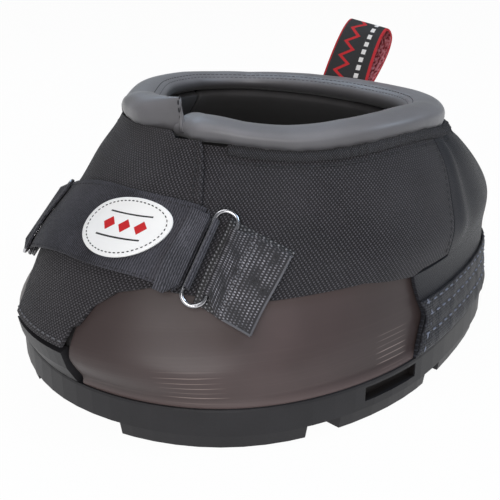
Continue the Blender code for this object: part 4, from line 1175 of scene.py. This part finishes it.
# %% Bindings on the keepers
for name, place in places.items():
    lines = [[keeper_spot(place, 0.04, angle, KEEPER_FACE) for angle in between(42.5, 49.5, 12)],
             [keeper_spot(place, t, 49.5, KEEPER_FACE) for t in between(0.04, 0.96, 16)]]
    along_lines(f"patch_binding_{name}", sweep, lines, False, edge_tape, "boot", "keeper_mesh",
                Radius=0.00042)

# %% [markdown]
# ## The label
# A soft oval of white plastic is sewn to the strap. It is domed a little, its edge is rounded and a
# dashed line of dark thread runs just inside the edge. Its face carries a plain row of diamonds
# between two lines.

# %% White face with a plain ornament
DIAMOND_PITCH = 0.0062
oval = Finish("label face", (0.78, 0.77, 0.76), 0.45, Coat_Weight=0.1)
u, v, _ = oval.xyz(oval.cloth_place())
cell = (u / DIAMOND_PITCH + 50.5).fract() - 0.5
diamonds = (cell.abs() * DIAMOND_PITCH + v.abs() < 0.0024) * (u.abs() < 0.0093)
rules = ((v.abs() - 0.0042).abs() < 0.00028) * (u.abs() < 0.0085)
grime = oval.noise(oval.place(), 160.0, 3.0)
face = oval.blend((grime * 1.3 - 0.4).clamp(), (0.93, 0.925, 0.92), (0.98, 0.975, 0.97))
face = oval.blend(diamonds, face, (0.58, 0.012, 0.016))
oval.set("Base Color", oval.blend(rules, face, (0.016, 0.015, 0.016)))
oval.bump(grime, 0.00005, 0.5)

# %% The oval
LABEL, LABEL_DOME = 0.0009, 0.0002
LABEL_MIDDLE, LABEL_HALF = (10.3, 0.718), (12.3, 0.105)
LABEL_OUT = STRAP_OUT + STRAP / 2 + PLY_GAP + LABEL


def label_spot(across, up, out=LABEL_OUT):
    """A point of the label, both places from -1 to 1."""
    across, up = np.asarray(across, float), np.asarray(up, float)
    height = height_at(LABEL_MIDDLE[1] + LABEL_HALF[1] * up) + 0.0003 * across
    return wall(LABEL_MIDDLE[0] + LABEL_HALF[0] * across, height, out)


turns = between(0, 2 * math.pi, 73)[:-1]
ring_scales = between(0.05, 1.0, 11)
grid = np.array([label_spot(s * np.cos(turns), s * np.sin(turns), LABEL_OUT + LABEL_DOME * (1 - s**3))
                 for s in ring_scales])
centre, right_edge, top_edge = label_spot(0, 0), label_spot(1, 0), label_spot(0, 1)
wide, tall = np.linalg.norm(right_edge - centre), np.linalg.norm(top_edge - centre)
uv = np.array([np.stack((s * np.cos(turns) * wide, s * np.sin(turns) * tall), -1) for s in ring_scales])
face_out = [(a, d, c, b) for a, b, c, d in grid_faces(len(ring_scales), len(turns), True)]
label = new_object("label_oval", grid.reshape(-1, 3), [tuple(range(len(turns))), *face_out])
map_cloth(label, uv)
label.data.materials.append(oval.material)
solid = label.modifiers.new("Thickness", "SOLIDIFY")
solid.thickness, solid.offset = LABEL, -1
round_edges(label, 0.0003, 2, 30)
dress(settle(label), "front_flap", "label_white", "oval_label")
print("label:", round(2000 * wide), "x", round(2000 * tall), "mm")

# %% [markdown]
# ## The pull loop
# A folded length of woven tape stands at the heel. Its edges are woven in red and its inner face
# shows the red and pink backs of the threads. The outer face has a plain zigzag between white
# dashes.

# %% Woven tape, outside and inside
tape = Finish("loop tape", (0.020, 0.019, 0.020), 0.75)
u, v, _ = tape.xyz(tape.cloth_place())
fine = tape.noise(tape.scaled(tape.cloth_place(), (2200.0, 2200.0, 0)), 1.0)
wave = ((u / 0.0075).fract() - 0.5).abs() * 0.012
zigzag = ((v - 0.0160 + wave - 0.003).abs() < 0.00125)
dashes = ((v - 0.0065).abs() < 0.0012) * ((u / 0.0042).fract() < 0.6)
selvedge = (v < 0.0011) + (v > 0.0234)
tone = tape.blend(fine, (0.014, 0.013, 0.014), (0.034, 0.032, 0.034))
tone = tape.blend(zigzag, tone, (0.55, 0.012, 0.018))
tone = tape.blend(dashes, tone, (0.80, 0.78, 0.77))
tape.set("Base Color", tape.blend(selvedge.clamp(), tone, (0.50, 0.012, 0.020)))
tape.bump(fine, 0.00012, 0.8)
back = Finish("loop tape back", (0.40, 0.14, 0.17), 0.8)
flecks = back.noise(back.scaled(back.cloth_place(), (520.0, 900.0, 0)), 1.0, 4.0)
tone = back.blend((flecks * 3.4 - 1.4).clamp(), (0.30, 0.012, 0.020), (0.66, 0.30, 0.34))
back.set("Base Color", back.blend((flecks < 0.42), tone, (0.10, 0.010, 0.014)))
back.bump(flecks, 0.00018, 0.8)

# %% Loop and its sewn tail
LOOP_ANGLE, LOOP_WIDTH, LOOP_LENGTH, LOOP_TAPE, TAIL = 187.0, 0.0245, 0.0385, 0.0013, 0.0022
HINGE_RISE, LOOP_LEAN, LOOP_BULGE = 0.0016, math.radians(43.0), 0.0042
LOOP_TAPER, LOOP_SLANT, TAIL_LENGTH = 0.10, 0.11, 0.0150
loop_level = seam_height(LOOP_ANGLE) + HINGE_RISE
hinge = wall(LOOP_ANGLE, loop_level, 0.0006 + TAIL)
across = unit(level_wall(LOOP_ANGLE + 1, loop_level) - level_wall(LOOP_ANGLE - 1, loop_level))
outward = np.cross(across, (0, 0, 1))
rise = np.array((0, 0, math.cos(LOOP_LEAN))) + outward * math.sin(LOOP_LEAN)
sideways = np.cross(across, rise)
shape_at = [0.00, 0.06, 0.12, 0.22, 0.32, 0.44, 0.55, 0.66, 0.75, 0.83, 0.90, 0.945, 0.975]
shape_by = [0.0, 0.12, 0.25, 0.45, 0.62, 0.79, 0.92, 0.985, 1.0, 0.94, 0.80, 0.63, 0.42]
half_line = [(LOOP_LENGTH * a, 0.0005 + LOOP_TAPE / 2 + LOOP_BULGE * b)
             for a, b in zip(shape_at, shape_by)]
profile = half_line + [(LOOP_LENGTH, 0)] + [(a, -b) for a, b in reversed(half_line)]
columns = between(-0.5, 0.5, 9)
rows = []
for a, b in profile:
    width = LOOP_WIDTH * (1 - LOOP_TAPER * a / LOOP_LENGTH)
    rows.append([hinge + across * width * s + rise * a * (1 - LOOP_SLANT * (0.5 - s)) + sideways * b
                 for s in columns])
grid = np.array(rows)
run = steps_along(grid, 0)
uv = np.stack(np.meshgrid((columns + 0.5) * LOOP_WIDTH, run), -1)[..., ::-1]
loop = sheet("loop_webbing", grid, LOOP_TAPE, 0, [tape.material, back.material], uv, smooth=1)
dress(loop, "pull_loop", "loop_black", "pull_loop")

top_level = hinge[2] - LAYER_GAP - LOOP_TAPE
levels = between(top_level - TAIL_LENGTH, top_level, 12)
middles = wall(LOOP_ANGLE, levels, 0.0003 + TAIL)
grid = middles[:, None, :] + across * LOOP_WIDTH * columns[None, :, None]
tail = sheet("loop_tail_webbing", grid, TAIL, -1, [strap_cloth])
dress(tail, "boot", "loop_tail_black", "loop_tail")

# %% [markdown]
# ## Sewing
# Every seam of the boot is a line on its cloth. The double row below the collar and the one at the
# flap's edge are dark and sink into the nylon; the rows on the heel patch and the toe hem are pale
# and show; the label's row is dark on white.

# %% Seams of the boot
ON_CLOTH = 0.0001
stitch_sizes = {  # pitch, length of a stitch, radius of its thread, in metres
    "collar_seam": (0.0026, 0.0020, 0.00034),
    "collar_rim": (0.0022, 0.0021, 0.00022),
    "toe_hem": (0.0027, 0.0019, 0.00032),
    "side_seam": (0.0026, 0.0020, 0.00032),
    "heel_patch": (0.0046, 0.0026, 0.00042),
    "flap_edge": (0.0026, 0.0020, 0.00034),
    "collar_end": (0.0024, 0.0018, 0.00034),
    "label": (0.00160, 0.00105, 0.00022),
    "strap_edge": (0.0022, 0.0014, 0.00020),
    "keeper": (0.0017, 0.0011, 0.00026),
    "loop_tail": (0.0022, 0.0016, 0.00028),
    "hook": (0.0008, 0.0003, 0.00018),
}


def on_wall(angles, heights, out=ON_CLOTH):
    return list(wall(angles, heights, out))


def sew(name, size, lines, finish, body, slot, closed=False):
    """Sews lines with the stitch size of that name."""
    pitch, length, radius = stitch_sizes[size]
    return along_lines(name, sewing, lines, closed, finish, body, slot,
                       Pitch=pitch, Stitch_Length=length, Thread_Radius=radius)


round_line = between(29.5, 328.0, 500)
collar_seams = [on_wall(round_line, seam_height(round_line) - drop) for drop in (0.0022, 0.0046)]
sew("collar_seam_stitches", "collar_seam", collar_seams, dark_thread, "boot", "nylon_black")
rim_line = between(22.0, 322.0, 520)
rim_rows = [list(roll_points(rim_line, 2 * math.pi + t)) for t in SEWN_TURNS]
sew("collar_rim_stitches", "collar_rim", rim_rows, dark_thread, "boot", "collar_grey")
hem_line = between(-17.4, 5.0, 60)
sew("toe_hem_stitches", "toe_hem", [on_wall(hem_line, GUARD_TOP + 0.0019)],
    grey_thread, "boot", "nylon_black")
levels = between(height_at(0.46), height_at(0.985), 70)
side_rows = [on_wall(seam, levels) for seam in (SIDE_SEAM - 1.3, 360 - SIDE_SEAM + 1.3)]
sew("side_seam_stitches", "side_seam", side_rows, dark_thread, "boot", "nylon_black")

# %% Seams of the heel patch
PATCH_FACE = 0.0013
patch_rows = []
for share in (0.252, 0.187, 0.103):
    first = np.interp(share, rear_shares, rear_angles) + 1.6
    run = between(first, 360 - first, 320)
    patch_rows.append(on_wall(run, height_at(share), PATCH_FACE))
for mirror in (1, -1):
    levels = between(height_at(0.04), height_at(0.255), 24)
    first = np.interp(share_at(levels), rear_shares, rear_angles) + 1.6
    patch_rows.append(on_wall(mirror * first, levels, PATCH_FACE))
sew("heel_patch_stitches", "heel_patch", patch_rows, pale_thread, "boot", "heel_patch_black")

# %% Seams of the flap, label, strap and keepers
flap_rows = []
for inset in (1.0, 2.6):
    t = between(0.08, 0.97, 60)
    edge_angles = flap_edge(t) - inset
    flap_rows.append(on_wall(edge_angles, flap_height(edge_angles, t), FLAP_OUT + 0.00015))
sew("flap_edge_stitches", "flap_edge", flap_rows, dark_thread, "front_flap", "nylon_black")
END_ROW_ANGLE, end_turns = 9.6, between(-0.30, 2.7, 44)
end_angles = END_ROW_ANGLE - END_SLANT * np.cos(end_turns)
end_out = end_shift(END_ROW_ANGLE) + 0.0003
end_row = list(roll_points(end_angles, end_turns, end_table, shift=end_out, flat=1.0))
sew("collar_end_stitches", "collar_end", [end_row], dark_thread, "front_flap", "collar_grey")
oval_row = [label_spot(0.885 * math.cos(t), 0.865 * math.sin(t), LABEL_OUT + 0.00008) for t in turns]
sew("label_stitches", "label", [oval_row], dark_thread, "front_flap", "label_white", closed=True)
run = between(-BAND_END + 1, BAND_END - 1, 120)
strap_rows = [on_wall(run, strap_height(t, run), STRAP_OUT + STRAP / 2) for t in (0.045, 0.955)]
sew("strap_edge_stitches", "strap_edge", strap_rows, dark_thread, "front_flap", "strap_black")
for name, place in places.items():
    rows = [[keeper_spot(place, t, angle, KEEPER_FACE) for t in between(0.10, 0.90, 14)]
            for angle in (41.2, 42.2)]
    sew(f"keeper_stitches_{name}", "keeper", rows, grey_thread, "boot", "keeper_mesh")
tail_rows = [[m + across * LOOP_WIDTH * s for m in middles[1:-1]] for s in (-0.42, 0.42)]
tail_rows += [[m + across * LOOP_WIDTH * s for s in between(-0.42, 0.42, 10)]
              for m in (middles[1], middles[-2])]
sew("loop_tail_stitches", "loop_tail", tail_rows, grey_thread, "boot", "loop_tail_black")

# %% [markdown]
# ## Hooks
# The pad under the strap's free end is hook tape. When the end is peeled back its face shows rows
# of tiny hooks, so short bristles are laid along rows by the same sewing tree, each one standing
# out from the tape.

# %% Rows of hooks
low_side = STRAP_OUT + STRAP / 2 + 0.00042
hook_rows = [[wall(angle, strap_height(t, angle), low_side) for t in between(0.15, 0.85, 40)]
             for angle in between(25.5, 27.3, 6)]
sew("hook_rows", "hook", hook_rows, hook_tape, "strap_tab", "hook_pad_black")

# %% [markdown]
# ## Studio
# The boot stands on a pale floor that reads as white. Two small cool lamps high behind it, left and
# right, draw the sheen along the collar and the heel. A large, faintly warm lamp in front lifts the
# face of the boot, and a white one overhead softens the shade. The camera stands low, 43 degrees
# round from the toe.

# %% Floor, lamps and world
FLOOR_GLOW, WORLD_LIGHT = 0.97, 0.20
floor = new_object("floor", [(-3, -3, 0), (3, -3, 0), (3, 3, 0), (-3, 3, 0)], [(0, 1, 2, 3)])
pale = Finish("pale floor", (0.93, 0.93, 0.93), 0.9)
glow = pale.tree.nodes.new("ShaderNodeEmission")
path = pale.tree.nodes.new("ShaderNodeLightPath")
mixer = pale.tree.nodes.new("ShaderNodeMixShader")
seen = Term(pale.tree, path.outputs["Is Camera Ray"])
glossy = Term(pale.tree, path.outputs["Is Glossy Ray"])
passing = Term(pale.tree, path.outputs["Is Transmission Ray"])
feed(pale.tree, mixer.inputs[0], ((seen + (glossy + passing)) * FLOOR_GLOW).clamp())
pale.tree.links.new(pale.shader.outputs[0], mixer.inputs[1])
pale.tree.links.new(glow.outputs[0], mixer.inputs[2])
pale.tree.links.new(mixer.outputs[0], pale.tree.nodes["Material Output"].inputs[0])
floor.data.materials.append(pale.material)


def lamp(name, place, target, size, power, colour):
    light = bpy.data.lights.new(name, "AREA")
    light.shape, light.size, light.energy, light.color = "DISK", size, power, colour
    item = add_object(name, light)
    item.location = place
    item.rotation_euler = Vector(np.subtract(target, place)).to_track_quat("-Z", "Y").to_euler()


lamp("left_rim", (-0.60, 0.30, 0.70), (0, 0, 0.06), 0.30, 1.2, (0.62, 0.80, 1.0))
lamp("right_rim", (0.62, 0.45, 0.80), (0, 0, 0.06), 0.30, 2.6, (0.62, 0.80, 1.0))
lamp("front_fill", (0.60, -0.80, 0.45), (0, 0, 0.05), 0.7, 6.4, (1.0, 0.985, 0.97))
lamp("top_soft", (0.0, -0.1, 1.1), (0, 0, 0.05), 0.6, 2.3, (1.0, 1.0, 1.0))

world = bpy.data.worlds.new("white studio")
bpy.context.scene.world = world
world.use_nodes = True
nodes, links = world.node_tree.nodes, world.node_tree.links
nodes.clear()
path = nodes.new("ShaderNodeLightPath")
soft, white, mixer, output = [nodes.new(kind) for kind in (
    "ShaderNodeBackground", "ShaderNodeBackground", "ShaderNodeMixShader", "ShaderNodeOutputWorld")]
soft.inputs["Color"].default_value = (0.95, 0.97, 1.0, 1)
soft.inputs["Strength"].default_value = WORLD_LIGHT
white.inputs["Strength"].default_value = 1.0
links.new(path.outputs["Is Camera Ray"], mixer.inputs[0])
links.new(soft.outputs[0], mixer.inputs[1])
links.new(white.outputs[0], mixer.inputs[2])
links.new(mixer.outputs[0], output.inputs[0])

# %% Camera
AZIMUTH, ELEVATION, DISTANCE = math.radians(42.736), math.radians(19.28), 0.329089
SENSOR, PICTURE, FOCAL_PIXELS, CENTRE_ROW = 36.0, 500, 788.709, 199.313
target = np.array((0, 0, 0.055))
level_reach = math.cos(ELEVATION)
toward = np.array((
    math.sin(AZIMUTH) * level_reach, -math.cos(AZIMUTH) * level_reach, math.sin(ELEVATION)))
camera = add_object("camera", bpy.data.cameras.new("camera"))
camera.location = target + toward * DISTANCE
camera.rotation_euler = (math.pi / 2 - ELEVATION, 0, AZIMUTH)
camera.data.sensor_width, camera.data.lens = SENSOR, FOCAL_PIXELS / PICTURE * SENSOR
camera.data.shift_x, camera.data.shift_y = -0.0002, (CENTRE_ROW - PICTURE / 2) / PICTURE
camera.data.clip_start = 0.01
bpy.context.scene.camera = camera
bpy.context.scene.view_settings.view_transform = "Standard"
print("camera", round(DISTANCE * 1000), "mm from the boot")
